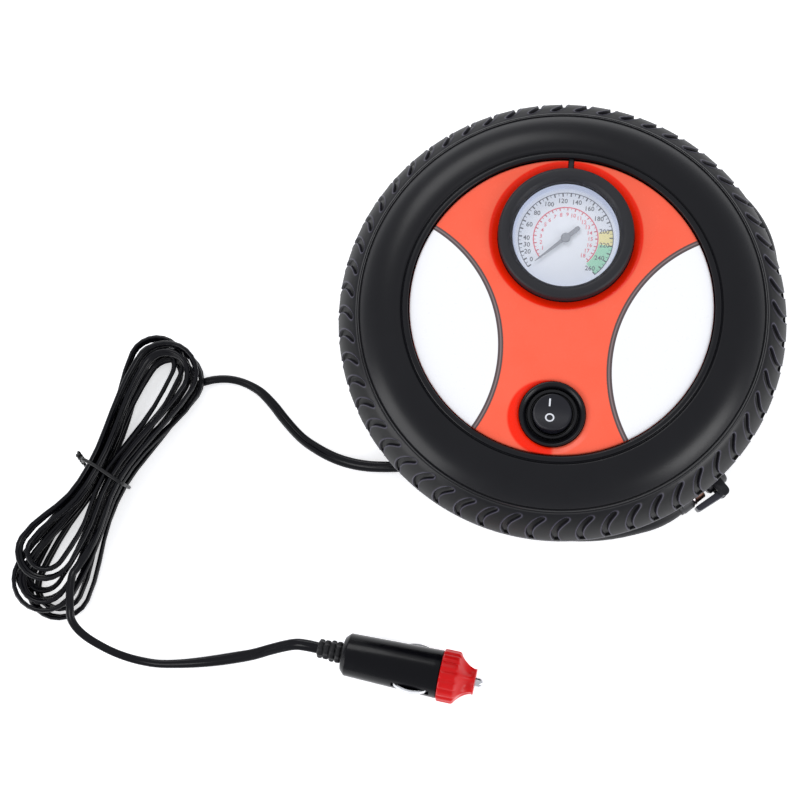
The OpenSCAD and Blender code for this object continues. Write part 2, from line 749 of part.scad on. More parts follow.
module gauge_cup() color(black) difference() {
    ledge = dial_z - dial_t;
    translate(gauge_at) rotate_extrude() polygon([[0, cup_floor], [cup_r, cup_floor],
        [cup_r, deck_z - ear_t], [cup_r + ear_reach, deck_z - ear_t], [cup_r + ear_reach, deck_z],
        [cup_r, deck_z], [cup_r, cup_top], [cup_r - cup_wall, cup_top],
        [cup_r - cup_wall, ledge], [cup_r - cup_wall - 1.2, ledge],
        [cup_r - cup_wall - 1.2, cup_floor + 1.6], [0, cup_floor + 1.6]]);
    translate([0, socket_y, cup_floor - 1]) cylinder(h = 4, r = 3.2);
    translate([0, gauge_y, cup_floor + 0.8]) cylinder(h = 4, r = arbor_r + running_gap);
    for (turn = [30, 150, 270]) translate(gauge_at) rotate([0, 0, turn])
        translate([gauge_screw_at, 0, deck_z - ear_t - 1])
            cylinder(h = ear_t + 2, r = gauge_screw_r);
}

module dial_plate() color(white) difference() {
    translate([0, gauge_y, dial_z - dial_t])
        cylinder(h = dial_t, r = cup_r - cup_wall - 0.2);
    translate([0, gauge_y, dial_z - 2]) cylinder(h = 4, r = arbor_r + fit_gap);
}

module gauge_needle() color([0.45, 0.45, 0.47]) translate([0, gauge_y, needle_z])
    rotate([0, 0, needle_rest]) difference() {
        union() {
            linear_extrude(height = needle_t) polygon([[0, -0.75], [needle_l, -0.15],
                [needle_l, 0.15], [0, 0.75]]);
            linear_extrude(height = needle_t) polygon([[0.5, -0.6], [0.5, 0.6],
                [-5, 1.1], [-5, -1.1]]);
            translate([-5, 0, 0]) cylinder(h = needle_t, r = 1.1);
            cylinder(h = needle_t + 0.4, r = 2);
        }
        translate([0, 0, -1]) cylinder(h = 4, r = arbor_r);
    }

module needle_arbor() color(brass) translate(gauge_at) {
    translate([0, 0, cup_floor + 0.9])
        cylinder(h = needle_z + needle_t - cup_floor - 0.9, r = arbor_r);
    translate([0, 0, movement_z]) rotate([0, 0, 90 + 180 / arbor_teeth])
        linear_extrude(height = 2.4)
            polygon(gear_teeth_outline(arbor_teeth, movement_module, 0, arbor_teeth - 1));
}

module gauge_sector() color(brass) translate([sector_at[0], sector_at[1], movement_z + 0.6])
    difference() {
        rotate([0, 0, 90]) linear_extrude(height = sector_t) polygon(concat(
            gear_teeth_outline(sector_teeth, movement_module, -9, 2),
            [[1.6, 1.4], [-sector_tail, 1], [-sector_tail, -1], [1.6, -1.8]]));
        translate([0, 0, -1]) cylinder(h = 4, r = 0.6);
    }

module bourdon_tube() color(brass) translate([0, gauge_y, movement_z - 1]) rotate([0, 0, -80])
    rotate_extrude(angle = 235) translate([tube_r - tube_t / 2, 0]) square([tube_t, tube_w]);

module gauge_socket() color(brass) {
    translate([-2.4, socket_y - 2.4, cup_floor + 1.6]) cube([6.9, 4.2, movement_z - cup_floor - 2.6]);
    translate([0, socket_y, cup_floor - 7]) cylinder(h = 9, r = 2.8);
    translate([0, socket_y, line_z]) rotate([0, 90, 0]) cylinder(h = 9, r = line_r / 2);
    translate([sector_at[0], sector_at[1], cup_floor + 1.6])
        cylinder(h = movement_z + 2.2 - cup_floor - 1.6, r = 0.6 - running_gap);
}

module gauge_screws() color(steel) translate(gauge_at) for (turn = [30, 150, 270])
    rotate([0, 0, turn]) translate([gauge_screw_at, 0, deck_z - ear_t - gauge_head_h]) {
        cylinder(h = gauge_head_h, r = gauge_screw_r + 0.6);
        cylinder(h = gauge_head_h + ear_t + deck_t / 2 + 0.15, r = gauge_screw_r);
    }

// ================= switch =================
module switch_body() color(black) translate(switch_at) difference() {
    union() {
        translate([0, 0, deck_z - barrel_h]) cylinder(h = barrel_h + deck_t, r = barrel_r);
        translate([0, 0, seat_z]) cylinder(h = switch_top - seat_z - 0.5, r = switch_flange_r);
        translate([0, 0, switch_top - 0.5])
            cylinder(h = 0.5, r1 = switch_flange_r, r2 = switch_flange_r - 0.5);
    }
    translate([0, 0, rocker_z - 6]) cylinder(h = 20, r = barrel_r - barrel_wall);
    translate([0, 0, rocker_z]) cylinder(h = 20, r = rocker_r + 0.75);
    translate([0, 0, rocker_z]) rotate([0, 90, 0])
        cylinder(h = 2 * barrel_r - 0.3, r = rocker_pin_r + running_gap, center = true);
}

module switch_rocker() color(soft_black) translate([0, switch_y, rocker_z])
    rotate([-rocker_tilt, 0, 0]) {
        intersection() {
            translate([0, 0, -0.8]) cylinder(h = 8, r = rocker_r);
            rotate([90, 0, 90]) linear_extrude(height = 20, center = true)
                polygon([[-8, -1], [8, -1], [8, rocker_top + 0.3], [rocker_r - 0.4, rocker_top],
                    [0, rocker_top - rocker_dip], [0.4 - rocker_r, rocker_top],
                    [-8, rocker_top + 0.3]]);
        }
        rotate([0, 90, 0]) cylinder(h = 2 * rocker_r - 1, r = 3.4, center = true);
        rotate([0, 90, 0]) cylinder(h = 2 * barrel_r - 0.5, r = rocker_pin_r, center = true);
    }

module switch_terminals() color(brass) translate([0, switch_y, deck_z - barrel_h - 8])
    for (x = [-3.5, 3.5]) translate([x - 0.4, -2.4, 0]) difference() {
        cube([0.8, 4.8, 8]);
        translate([-1, 2.4, 2.2]) rotate([0, 90, 0]) cylinder(h = 3, r = 0.8);
    }

// ================= drive =================
module foot(x, y, length_x, length_y) {
    translate([x, y, foot_z]) cube([length_x, length_y, foot_t]);
}

module drive_frame() color(alloy) difference() {
    plate_x = motor_x - motor_r;
    union() {
        translate([plate_x, plate_front, foot_z])
            cube([wall_x + wall_t - plate_x, frame_t, frame_top - foot_z]);
        translate([wall_x, rod_y - head_half, foot_z])
            cube([wall_t, frame_y - rod_y + head_half, frame_top - foot_z]);
        foot(plate_x, plate_front - 12, 12, 12);
        foot(wall_x, rod_y - head_half, 12, 8);
        foot(wall_x, plate_front, 12, 9);
    }
    at_motor() translate([0, 0, plate_front - 1]) cylinder(h = frame_t + 2, r = 4);
    at_crank() translate([0, 0, plate_front - 1]) cylinder(h = frame_t + 2, r = bearing_r);
    at_bore(wall_x - 1) cylinder(h = wall_t + 2, r = bore_r + cylinder_wall);
    at_bore(wall_x) head_holes(wall_t);
    for (turn = [0, 180]) at_motor() rotate([0, 0, turn]) translate([motor_screw_x, 0, plate_front]) {
        translate([0, 0, -1]) cylinder(h = frame_t + 2, r = screw_r);
        translate([0, 0, -1]) cylinder(h = motor_head_h + 1, r = motor_head_r);
    }
    for (spot = foot_spots) translate([spot[0], spot[1], foot_z - 1])
        cylinder(h = foot_t + 2, r = screw_r);
}

module frame_screws() color(steel) for (spot = foot_spots)
    translate([spot[0], spot[1], foot_z + foot_t + frame_head_h]) mirror([0, 0, 1])
        screw(frame_head_h + foot_t + frame_screw_grip, screw_head_r - 0.2, frame_head_h);

module motor_can() color(steel) at_motor() translate([0, 0, frame_y]) difference() {
    rotate_extrude() polygon([[0, -1.5], [4, -1.5], [4, 0], [motor_r - 1, 0],
        [motor_r, 1], [motor_r, motor_l], [0, motor_l]]);
    translate([0, 0, -2]) cylinder(h = motor_l + 4, r = motor_shaft_r + running_gap);
    for (turn = [0, 180]) rotate([0, 0, turn]) translate([motor_screw_x, 0, -1])
        cylinder(h = 5, r = screw_r);
}

module motor_end_cap() color([0.2, 0.2, 0.2]) at_motor()
    translate([0, 0, frame_y + motor_l]) difference() {
        union() {
            rotate_extrude() polygon([[0, 0], [motor_r - cap_step, 0],
                [motor_r - cap_step, cap_rim], [motor_r - cap_step - 1, cap_dome],
                [cap_boss_r, cap_dome], [cap_boss_r, cap_boss_h], [0, cap_boss_h]]);
            for (x = [-tag_x, tag_x]) translate([x - 1.6, -0.3, cap_rim]) cube([3.2, 0.6, tag_l]);
        }
        translate([0, 0, -2]) cylinder(h = cap_boss_h + 1.6, r = motor_shaft_r + running_gap);
    }

module motor_shaft() color(steel) at_motor() translate([0, 0, gear_y - 0.3])
    cylinder(h = frame_y + motor_l + 4.5 - gear_y + 0.3, r = motor_shaft_r);

module pinion() color(brass) at_motor() translate([0, 0, gear_y])
    difference() {
        rotate([0, 0, -gear_rise + 180 / pinion_teeth]) linear_extrude(height = gear_w)
            polygon(gear_teeth_outline(pinion_teeth, gear_module, 0, pinion_teeth - 1));
        translate([0, 0, -1]) cylinder(h = gear_w + 2, r = motor_shaft_r);
    }

module motor_screws() color(steel) for (turn = [0, 180]) at_motor() rotate([0, 0, turn])
    translate([motor_screw_x, 0, plate_front]) screw(frame_t + 3.5, motor_head_r, motor_head_h);

module crank_gear() color(white) at_crank() translate([0, 0, gear_y]) difference() {
    rotate([0, 0, -gear_rise]) linear_extrude(height = gear_w)
        polygon(gear_teeth_outline(gear_teeth, gear_module, 0, gear_teeth - 1));
    translate([0, 0, -1]) cylinder(h = gear_w + 2, r = crank_shaft_r);
    translate([0, 0, gear_w - 1.2]) difference() {
        cylinder(h = 2, r = gear_pitch - 2.6);
        translate([0, 0, -1]) cylinder(h = 4, r = crank_shaft_r + 2.5);
    }
    for (turn = [0 : 60 : 300]) rotate([0, 0, turn]) translate([gear_pitch * 0.68, 0, -1])
        cylinder(h = gear_w + 2, r = 2.2);
}

module crankshaft() color(steel) at_crank() {
    translate([0, 0, gear_y]) cylinder(h = frame_y + 1.6 - gear_y, r = crank_shaft_r);
    translate([0, 0, frame_y + 2 * fit_gap]) cylinder(h = 1, r = crank_shaft_r + 1.4);
}

module crank_bearing() color(brass) at_crank() difference() {
    translate([0, 0, plate_front - 0.4]) cylinder(h = frame_t + 0.7, r = bearing_r);
    translate([0, 0, plate_front - 1]) cylinder(h = frame_t + 3, r = crank_shaft_r + running_gap);
}

// ================= compressor =================
module at_rod() {
    translate([wrist_x, rod_y, crank_z]) rotate([0, rod_tilt, 0]) rotate([90, 0, 0]) children();
}

module crank_pin() color(steel) at_rod() translate([-rod_l, 0, -rod_t / 2 - 0.3])
    cylinder(h = rod_t + 0.7, r = crank_pin_r);

module connecting_rod() color(alloy) at_rod() difference() {
    union() {
        translate([-rod_l, 0, -rod_t / 2]) cylinder(h = rod_t, r = crank_pin_r + 2.8);
        translate([0, 0, -rod_t / 2]) cylinder(h = rod_t, r = wrist_pin_r + 2);
        translate([0, 0, -rod_t / 4]) linear_extrude(height = rod_t / 2)
            polygon([[-rod_l, -3], [-rod_l, 3], [0, 2.2], [0, -2.2]]);
        translate([0, 0, -rod_t / 2]) linear_extrude(height = rod_t)
            polygon([[-rod_l, -1.2], [-rod_l, 1.2], [0, 1], [0, -1]]);
    }
    translate([-rod_l, 0, -rod_t]) cylinder(h = 2 * rod_t, r = crank_pin_r);
    translate([0, 0, -rod_t]) cylinder(h = 2 * rod_t, r = wrist_pin_r + running_gap);
}

module wrist_pin() color(steel) translate([wrist_x, rod_y, crank_z]) rotate([90, 0, 0])
    cylinder(h = 2 * (bore_r - 1.6), r = wrist_pin_r, center = true);

module piston() color(alloy) difference() {
    at_bore(wrist_x - 4) difference() {
        cylinder(h = piston_l, r = bore_r - running_gap);
        translate([0, 0, piston_l - 3]) difference() {
            cylinder(h = 1.5, r = bore_r + 1);
            translate([0, 0, -1]) cylinder(h = 4, r = bore_r - 1.6);
        }
    }
    translate([wrist_x - 5, rod_y - rod_t / 2 - fit_gap, crank_z - bore_r])
        cube([1 + 4 + wrist_pin_r + 2.5, rod_t + 2 * fit_gap, 2 * bore_r]);
    translate([wrist_x, rod_y, crank_z]) rotate([90, 0, 0])
        cylinder(h = 2 * (bore_r - 1.6), r = wrist_pin_r, center = true);
}

module piston_seal() color(soft_black) at_bore(wrist_x - 4 + piston_l - 3) difference() {
    cylinder(h = 1.5, r = bore_r - running_gap / 2);
    translate([0, 0, -1]) cylinder(h = 4, r = bore_r - 1.6);
}

module cylinder_fins() {
    first = wall_x + wall_t + 2.4;
    step = (bore_end - first) / fin_count;
    for (i = [0 : fin_count - 1]) translate([0, 0, first + i * step])
        cylinder(h = 1.2, r = fin_r);
}

module pump_cylinder() color(alloy) at_bore(0) difference() {
    union() {
        translate([0, 0, wall_x]) cylinder(h = bore_end - wall_x, r = bore_r + cylinder_wall);
        translate([0, 0, wall_x + wall_t]) cylinder(h = 1.4, r = fin_r - 0.6);
        cylinder_fins();
    }
    translate([0, 0, wall_x - 1]) cylinder(h = bore_end - wall_x + 2, r = bore_r);
}

module head_holes(depth) {
    for (y = [-1, 1]) for (z = [-1, 1]) translate([z * head_screw, y * head_screw, -1])
        cylinder(h = depth + 2, r = screw_r);
}

module valve_plate() color(steel) at_bore(bore_end) difference() {
    linear_extrude(height = valve_t) rounded_square(head_half, 3);
    head_holes(valve_t);
    for (y = [-4, 4]) translate([0, y, -1]) cylinder(h = valve_t + 2, r = 1.5);
}

module cylinder_head() color(alloy) difference() {
    union() {
        at_bore(head_x) linear_extrude(height = head_l - 1.5) rounded_square(head_half, 3);
        for (i = [-2 : 2]) translate([head_end - 1.5, rod_y + i * 3.2 - 0.6, crank_z - 8])
            cube([1.5, 1.2, 8 + head_half]);
        translate([head_x, rod_y, hose_z]) rotate([0, 90, 0]) cylinder(h = head_l, r = 4.4);
        translate([head_x + 3, rod_y + head_half - 1, line_z]) rotate([-90, 0, 0])
            cylinder(h = 2.5, r = 2.2);
    }
    at_bore(head_x - 1) cylinder(h = 4, r = bore_r - 1);
    at_bore(head_x) head_holes(head_l);
    translate([head_x - 1, rod_y, hose_z + 3]) rotate([0, 90, 0]) cylinder(h = 5, r = 2);
    translate([head_x + 2, rod_y, hose_z]) rotate([0, 90, 0]) cylinder(h = head_l, r = 1.3);
    translate([head_x + 3, rod_y, line_z]) rotate([-90, 0, 0]) cylinder(h = 2 * head_half, r = 1);
}

module head_screws() color(steel) at_bore(wall_x) for (y = [-1, 1]) for (z = [-1, 1])
    translate([z * head_screw, y * head_screw, head_end - wall_x - 1.5 + 1.8]) mirror([0, 0, 1])
        screw(head_end - wall_x - 1.5 + 1.8, 2 * screw_r - 0.4, 1.8);

module outlet_barb() color(brass) translate([head_end, rod_y, hose_z]) rotate([0, 90, 0]) difference() {
    union() {
        cylinder(h = 1.6, r = 4, $fn = 6);
        cylinder(h = 1 + hose_lead_in, r = hose_bore_d / 2 - 0.1);
    }
    translate([0, 0, -1]) cylinder(h = 3 + hose_lead_in, r = 1.3);
}

module hose_clip() color(steel) translate([hose_start + 2, rod_y, hose_z]) rotate([0, 90, 0])
    difference() {
        cylinder(h = 3, r = hose_r + 0.8);
        translate([0, 0, -1]) cylinder(h = 5, r = hose_r);
        translate([0, hose_r, -1]) cube([1.2, 4, 10], center = true);
    }

module gauge_line() {
    start = [head_x + 3, rod_y + head_half + 1.5];
    bend = min(6, socket_y - start[1] - fit_gap);
    steps = [[0, socket_y - start[1] - bend], [bend, 90], [0, start[0] - bend - 3.4]];
    color(soft_black) translate([start[0], start[1], line_z]) rotate([0, 0, 90])
        hose_run(steps, line_r, line_r / 2 + fit_gap / 4);
}

// ================= air hose and chuck =================
module air_hose() color(soft_black) translate([hose_start, rod_y, hose_z])
    hose_run(hose_steps, hose_r, hose_bore_d / 2);

module chuck_ferrule() color(steel) at_chuck(-5) difference() {
    rotate_extrude() polygon([[0, 0], [hose_r + 0.5, 0], [hose_r + 0.5, 1], [hose_r + 0.8, 1.4],
        [hose_r + 0.8, 5.6], [hose_r + 0.3, 6.2], [0, 6.2]]);
    translate([0, 0, -1]) cylinder(h = 6, r = hose_r);
    translate([0, 0, -1]) cylinder(h = 9, r = 2.4);
}

module chuck_stem() color(brass) at_chuck(-8) difference() {
    union() {
        cylinder(h = 8 + chuck_l - nozzle_l, r = 2.4);
        translate([0, 0, 9.2]) cylinder(h = 2.4, r = 3.3, $fn = 6);
    }
    translate([0, 0, -1]) cylinder(h = 12 + chuck_l, r = 1.2);
}

module chuck_body() color([0.16, 0.16, 0.17]) difference() {
    union() {
        at_chuck(chuck_l - nozzle_l) rotate_extrude() polygon([[0, 0], [nozzle_r - 0.8, 0],
            [nozzle_r, 0.8], [nozzle_r, nozzle_l - 0.8], [nozzle_r - 0.6, nozzle_l], [0, nozzle_l]]);
        for (side = [-1, 1]) translate(chuck_at) rotate([0, 0, chuck_turn])
            translate([lever_pivot[0], -lever_pivot[1], side * (lever_w / 2 + fit_gap + 0.7)])
                ear();
    }
    at_chuck(chuck_l - mouth_l) cylinder(h = mouth_l + 1, r = mouth_r);
    at_chuck(chuck_l - mouth_l - seal_t) cylinder(h = seal_t + 1, r = seal_r);
    at_chuck(chuck_l - nozzle_l - 1) cylinder(h = nozzle_l, r = 1.2);
    at_lever() cylinder(h = 20, r = 0.9, center = true);
}

// One of the two ears that carry the lever's pin
module ear() {
    cylinder(h = 1.4, r = 2, center = true);
    translate([-2, 0, -0.7]) cube([4, lever_pivot[1] - 1.5, 1.4]);
}

module at_lever() {
    translate(chuck_at) rotate([0, 0, chuck_turn]) translate([lever_pivot[0], -lever_pivot[1], 0])
        children();
}

module chuck_seal() color(soft_black) at_chuck(chuck_l - mouth_l - seal_t) difference() {
    cylinder(h = seal_t, r = seal_r);
    translate([0, 0, -1]) cylinder(h = seal_t + 2, r = 1.6);
}

module chuck_lever() color(black) at_lever() difference() {
    union() {
        cylinder(h = lever_w, r = lever_t / 2 + 0.4, center = true);
        translate([0, 0, -lever_w / 2]) linear_extrude(height = lever_w)
            polygon([[0, lever_t / 2 - 0.2], [0, -lever_t / 2 - 0.4], [-8, -lever_t / 2 - 0.4],
                [-lever_pivot[0] + 1, -lever_t / 2 - 0.2], [-lever_pivot[0] + 0.4, lever_t / 2 - 0.6],
                [-lever_pivot[0] + 1.2, lever_t / 2 - 0.2]]);
    }
    cylinder(h = 20, r = 0.9 + running_gap, center = true);
}

module chuck_pin() color(steel) at_lever()
    cylinder(h = lever_w + 2 * fit_gap + 2.8, r = 0.9, center = true);

// ================= lead and hank =================
module cord_grommet() color(soft_black) translate([lead_exit[0] + 13, lead_exit[1], lead_exit[2]])
    rotate([0, -90, 0]) difference() {
        rotate_extrude() polygon([[0, 0], [cord_r + 0.8, 0], [cord_r + 0.8, 2],
            [cord_r + 0.45, 2], [cord_r + 0.45, 17], [cord_r + 0.7, 17], [cord_r + 0.7, 18.4],
            [cord_r + 0.3, 18.9 + relief_l * 0.6], [0, 18.9 + relief_l * 0.6]]);
        translate([0, 0, -1]) cylinder(h = 40, r = cord_r + 0.1);
    }

// A point of the hank's outline: along its axis, across it, and the way out of it
function lobe_side(u) = waist_half + (lobe_r - waist_half) * (1 - cos(180 * u / lobe_u)) / 2;
function hank_quarter(q) = q < 0.5
    ? [lobe_u * 2 * q, lobe_side(lobe_u * 2 * q)]
    : [lobe_u + lobe_r * sin((q - 0.5) * 180), lobe_r * cos((q - 0.5) * 180)];
function hank_outline(turn) =
    let (t = 4 * (turn - floor(turn)), k = floor(t), q = t - k,
        p = hank_quarter(k % 2 == 0 ? q : 1 - q))
    [k < 2 ? -p[0] : p[0], k == 0 || k == 3 ? p[1] : -p[1]];
function hank_inward(turn) = let (d = hank_outline(turn + 0.002) - hank_outline(turn - 0.002))
    [-d[1], d[0]] / norm(d);
function climb(turn) = let (layer = floor(turn / layer_turns + 0.5),
    part = min(1, max(0, 4 * (turn - layer * layer_turns) + 0.5)))
    max(0, min(hank_layers - 1, layer - 1 + (1 - cos(180 * part)) / 2));
function spiral(turn) = let (phase = turn / layer_turns, k = floor(phase), part = phase - k)
    turn < 0 ? turn : turn > hank_loops ? hank_loops - turn
    : layer_turns * (k % 2 == 0 ? part : 1 - part);
function ramp(x, ends) = let (t = min(1, max(0, (x - ends[0]) / (ends[1] - ends[0]))))
    t * t * (3 - 2 * t);
function pushed(p, level) = let (k = min(hank_layers - 2, floor(level)), t = level - k,
    table = p[0] > 0 ? far_push : near_push, push = table[k] * (1 - t) + table[k + 1] * t)
    p + [sign(p[0]) * push[0] * ramp(abs(p[0]), push_along), push[1] * ramp(abs(p[0]), push_across)];
function hank_point(turn) =
    let (line = pushed(hank_outline(turn) + strand_step * spiral(turn) * hank_inward(turn), climb(turn)),
        u = line[0], v = line[1], rise = tie_lift * exp(-pow(u / 14, 2)))
    [hank_centre[0] + u * cos(hank_axis) + v * sin(hank_axis),
     hank_centre[1] + u * sin(hank_axis) - v * cos(hank_axis),
     cord_r + rise + strand_step * climb(turn)];
hank_path = [for (i = [-3 : hank_rings * hank_loops + 3]) hank_point(i / hank_rings)];
hank_gap = min([for (i = [0 : len(hank_path) - 1]) for (k = [i + 8 : 1 : len(hank_path) - 1])
    norm(hank_path[i] - hank_path[k])]) - cord_d;
echo(hank_gap = hank_gap);
module cord_hank() color(soft_black) swept_tube(hank_path, cord_r, hank_sides);

// The free stretches meet the hank's two ends square, after a straight diameter
hank_first = hank_path[0];
hank_last = hank_path[len(hank_path) - 1];
hank_in = unit(hank_path[1] - hank_first);
hank_away = unit(hank_last - hank_path[len(hank_path) - 2]);
module cord_lead() color(soft_black)
    swept_tube(concat(lead_route, [hank_first - cord_d * hank_in, hank_first]), cord_r, 8);
module cord_tail() color(soft_black)
    swept_tube(concat([hank_last, hank_last + cord_d * hank_away], tail_route), cord_r, 8);

module cord_tie() color(soft_black) translate(hank_centre) rotate([0, 0, hank_axis]) {
    wide = 2 * waist_half + cord_d + 1.2;
    high = cord_d + (hank_layers - 1) * strand_step + 0.7;
    translate([-0.8, 0, 0]) rotate([90, 0, 90]) linear_extrude(height = 1.6) difference() {
        translate([-wide / 2 - tie_t, 0]) square([wide + 2 * tie_t, high + 2 * tie_t]);
        translate([-wide / 2, tie_t]) square([wide, high]);
    }
}

// ================= plug =================
module plug_relief() color(soft_black) at_plug(0) difference() {
    rotate_extrude() polygon(concat([[0, 0], [2.6, 0]],
        [for (i = [0 : 3]) each [[3.6 + i * 0.3, 0.6 + i * 2.4], [3.6 + i * 0.3, 1.8 + i * 2.4],
            [2.9 + i * 0.3, 1.9 + i * 2.4], [2.9 + i * 0.3, 2.9 + i * 2.4]]],
        [[3.8, plug_relief_l], [3.8, plug_relief_l + 3], [0, plug_relief_l + 3]]));
    translate([0, 0, -1]) cylinder(h = 30, r = cord_r + 0.1);
}

module contact_slot(side) {
    translate([0, side * plug_r, barrel_end - contact_l / 2 - contact_back])
        cube([contact_w + 0.8, 8, contact_l + 0.8], center = true);
}

module plug_barrel() color(black) at_plug(0) difference() {
    rotate_extrude() polygon([[0, plug_relief_l], [plug_r - barrel_taper - barrel_bevel, plug_relief_l],
        [plug_r - barrel_taper, plug_relief_l + barrel_bevel], [plug_r, barrel_end],
        [0, barrel_end]]);
    translate([0, 0, plug_relief_l + 4]) cylinder(h = plug_barrel_l, r = cap_bore);
    translate([0, 0, plug_relief_l - 1]) cylinder(h = 6, r = 3.8);
    for (side = [-1, 1]) intersection() {
        contact_slot(side);
        cylinder(h = 100, r = 20);
    }
}

module plug_contact(side) {
    swing = (contact_l * contact_l / 4 + contact_swell * contact_swell) / (2 * contact_swell);
    middle = barrel_end - contact_l / 2 - contact_back;
    color(steel) at_plug(0) translate([-contact_w / 2, side * (plug_r - contact_seat), middle])
        rotate([0, 90, 0]) linear_extrude(height = contact_w) intersection() {
            translate([0, side * (contact_swell - swing)]) difference() {
                circle(r = swing);
                circle(r = swing - contact_t);
            }
            translate([-contact_l / 2, side > 0 ? -contact_t : -8]) square([contact_l, 8 + contact_t]);
        }
}
module plug_contact_left() {
    plug_contact(1);
}
module plug_contact_right() {
    plug_contact(-1);
}

module plug_cap() color(red) at_plug(barrel_end) difference() {
    rotate_extrude() polygon(concat([[0, 0.2], [cap_r - 0.5, 0.2], [cap_r, 0.7],
        [cap_r, cap_band], [cap_r - 0.5, cap_band + 0.4]],
        [for (t = [0.2 : 0.2 : 1]) [nose_r + (cap_r - 0.5 - nose_r) * pow(1 - t, 1.7),
            cap_band + 0.4 + (cap_l - cap_band - 0.4) * t]],
        [[0, cap_l]]));
    translate([0, 0, -1]) cylinder(h = cap_l - 0.8, r = cap_bore);
    cylinder(h = 30, r = pin_r + running_gap);
    for (i = [0 : flute_count - 1]) rotate([0, 0, i * 360 / flute_count])
        translate([cap_r + flute_r - 0.4, 0, -1]) cylinder(h = cap_band + 3, r = flute_r);
}

module plug_pin() color(steel) at_plug(0) {
    translate([0, 0, pin_seat - pin_flange_t - 0.1]) cylinder(h = pin_flange_t, r = cap_bore - 0.3);
    translate([0, 0, pin_seat - pin_flange_t]) rotate_extrude() polygon(concat(
        [[0, 0], [pin_r, 0]], arc([0, cap_end + pin_out - pin_r - pin_seat + pin_flange_t], pin_r,
            0, 90, 6)));
}

module plug_fuse() color(clear) at_plug(fuse_rear)
    cylinder(h = fuse_l, r = fuse_r);

module plug_spring() color(steel) {
    coil = spring_d / 2 - spring_wire / 2;
    long = fuse_rear - pin_travel - fit_gap - spring_rear - spring_wire;
    path = [for (i = [0 : spring_rings * spring_turns]) let (turn = i / spring_rings)
        [spring_wire / 2 + long * turn / spring_turns, coil * cos(360 * turn), coil * sin(360 * turn)]];
    translate(plug_rear) rotate([0, 0, plug_turn]) translate([spring_rear, 0, 0])
        swept_tube(path, spring_wire / 2, 6);
}

// ================= assembly =================
tyre_shell();
front_panel();
side_labels();
hub_ring();
rear_cover();
cover_screws();
gauge_lens();
gauge_cup();
dial_plate();
gauge_needle();
needle_arbor();
gauge_sector();
bourdon_tube();
gauge_socket();
gauge_screws();
gauge_line();
switch_body();
switch_rocker();
switch_terminals();
drive_frame();
motor_can();
motor_end_cap();
motor_shaft();
pinion();
motor_screws();
crank_gear();
crankshaft();
crank_bearing();
crank_pin();
connecting_rod();
wrist_pin();
piston();
piston_seal();
pump_cylinder();
valve_plate();
cylinder_head();
head_screws();
outlet_barb();
hose_clip();
frame_screws();
air_hose();
chuck_ferrule();
chuck_stem();
chuck_body();
chuck_seal();
chuck_lever();
chuck_pin();
cord_grommet();
cord_lead();
cord_hank();
cord_tie();
cord_tail();
plug_relief();
plug_barrel();
plug_contact_left();
plug_contact_right();
plug_cap();
plug_pin();
plug_fuse();
plug_spring();
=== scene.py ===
# %% [markdown]
# # A tyre inflator shaped like a small wheel
# The solids of this inflator were drawn in millimetres and packed as a fixed frame. This
# script dresses that frame: it keeps every hidden solid and gives it a finish, and it puts
# a finer piece wherever the eye rests. Nothing moves away from where the frame has it, so
# the joints still work. Loading comes first, because every later cell measures from it.

# %% Load the frame
import math

import bmesh
import bpy
from mathutils import Matrix, Vector, geometry


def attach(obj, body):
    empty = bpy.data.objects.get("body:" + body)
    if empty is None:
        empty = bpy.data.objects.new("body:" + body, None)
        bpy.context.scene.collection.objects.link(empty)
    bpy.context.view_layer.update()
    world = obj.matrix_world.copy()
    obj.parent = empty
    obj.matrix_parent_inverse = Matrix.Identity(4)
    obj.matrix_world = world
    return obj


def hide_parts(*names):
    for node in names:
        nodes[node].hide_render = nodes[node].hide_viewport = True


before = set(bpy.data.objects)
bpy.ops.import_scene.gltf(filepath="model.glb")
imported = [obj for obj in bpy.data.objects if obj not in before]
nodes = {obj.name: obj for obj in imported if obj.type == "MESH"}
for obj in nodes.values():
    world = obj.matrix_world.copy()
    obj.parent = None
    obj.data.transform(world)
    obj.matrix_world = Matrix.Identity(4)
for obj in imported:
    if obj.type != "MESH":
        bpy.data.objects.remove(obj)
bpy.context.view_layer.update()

scene = bpy.context.scene
MM = 0.001

# %% [markdown]
# ## One way to build every node tree
# Shaders and Geometry Nodes are both graphs of sockets. They could be wired by hand, node
# by node, which is long and hard to read. Here a Wire wraps one output socket and answers
# Python's own operators, so `1 - mask * 0.5` adds its Math nodes by itself, and a Graph
# makes any other node from its kind, its settings and the values of its sockets.

# %% Wires and graphs
class Wire:
    """An output socket that Python's operators work on."""

    def __init__(self, graph, socket):
        self.graph, self.socket = graph, socket

    def maths(self, operation, *others, swap=False):
        terms = [self, *others]
        return self.graph.node("ShaderNodeMath", {"operation": operation},
                               terms[::-1] if swap else terms)

    def __add__(self, other):
        return self.maths("ADD", other)

    def __sub__(self, other):
        return self.maths("SUBTRACT", other)

    def __rsub__(self, other):
        return self.maths("SUBTRACT", other, swap=True)

    def __mul__(self, other):
        return self.maths("MULTIPLY", other)

    def __truediv__(self, other):
        return self.maths("DIVIDE", other)

    def __pow__(self, other):
        return self.maths("POWER", other)

    __radd__, __rmul__ = __add__, __mul__

    def step(self, low, high):
        """0 below low, 1 above high, and smooth between them; low may be the larger."""
        return self.graph.node("ShaderNodeMapRange", {"interpolation_type": "SMOOTHSTEP"},
                               [self, low, high])


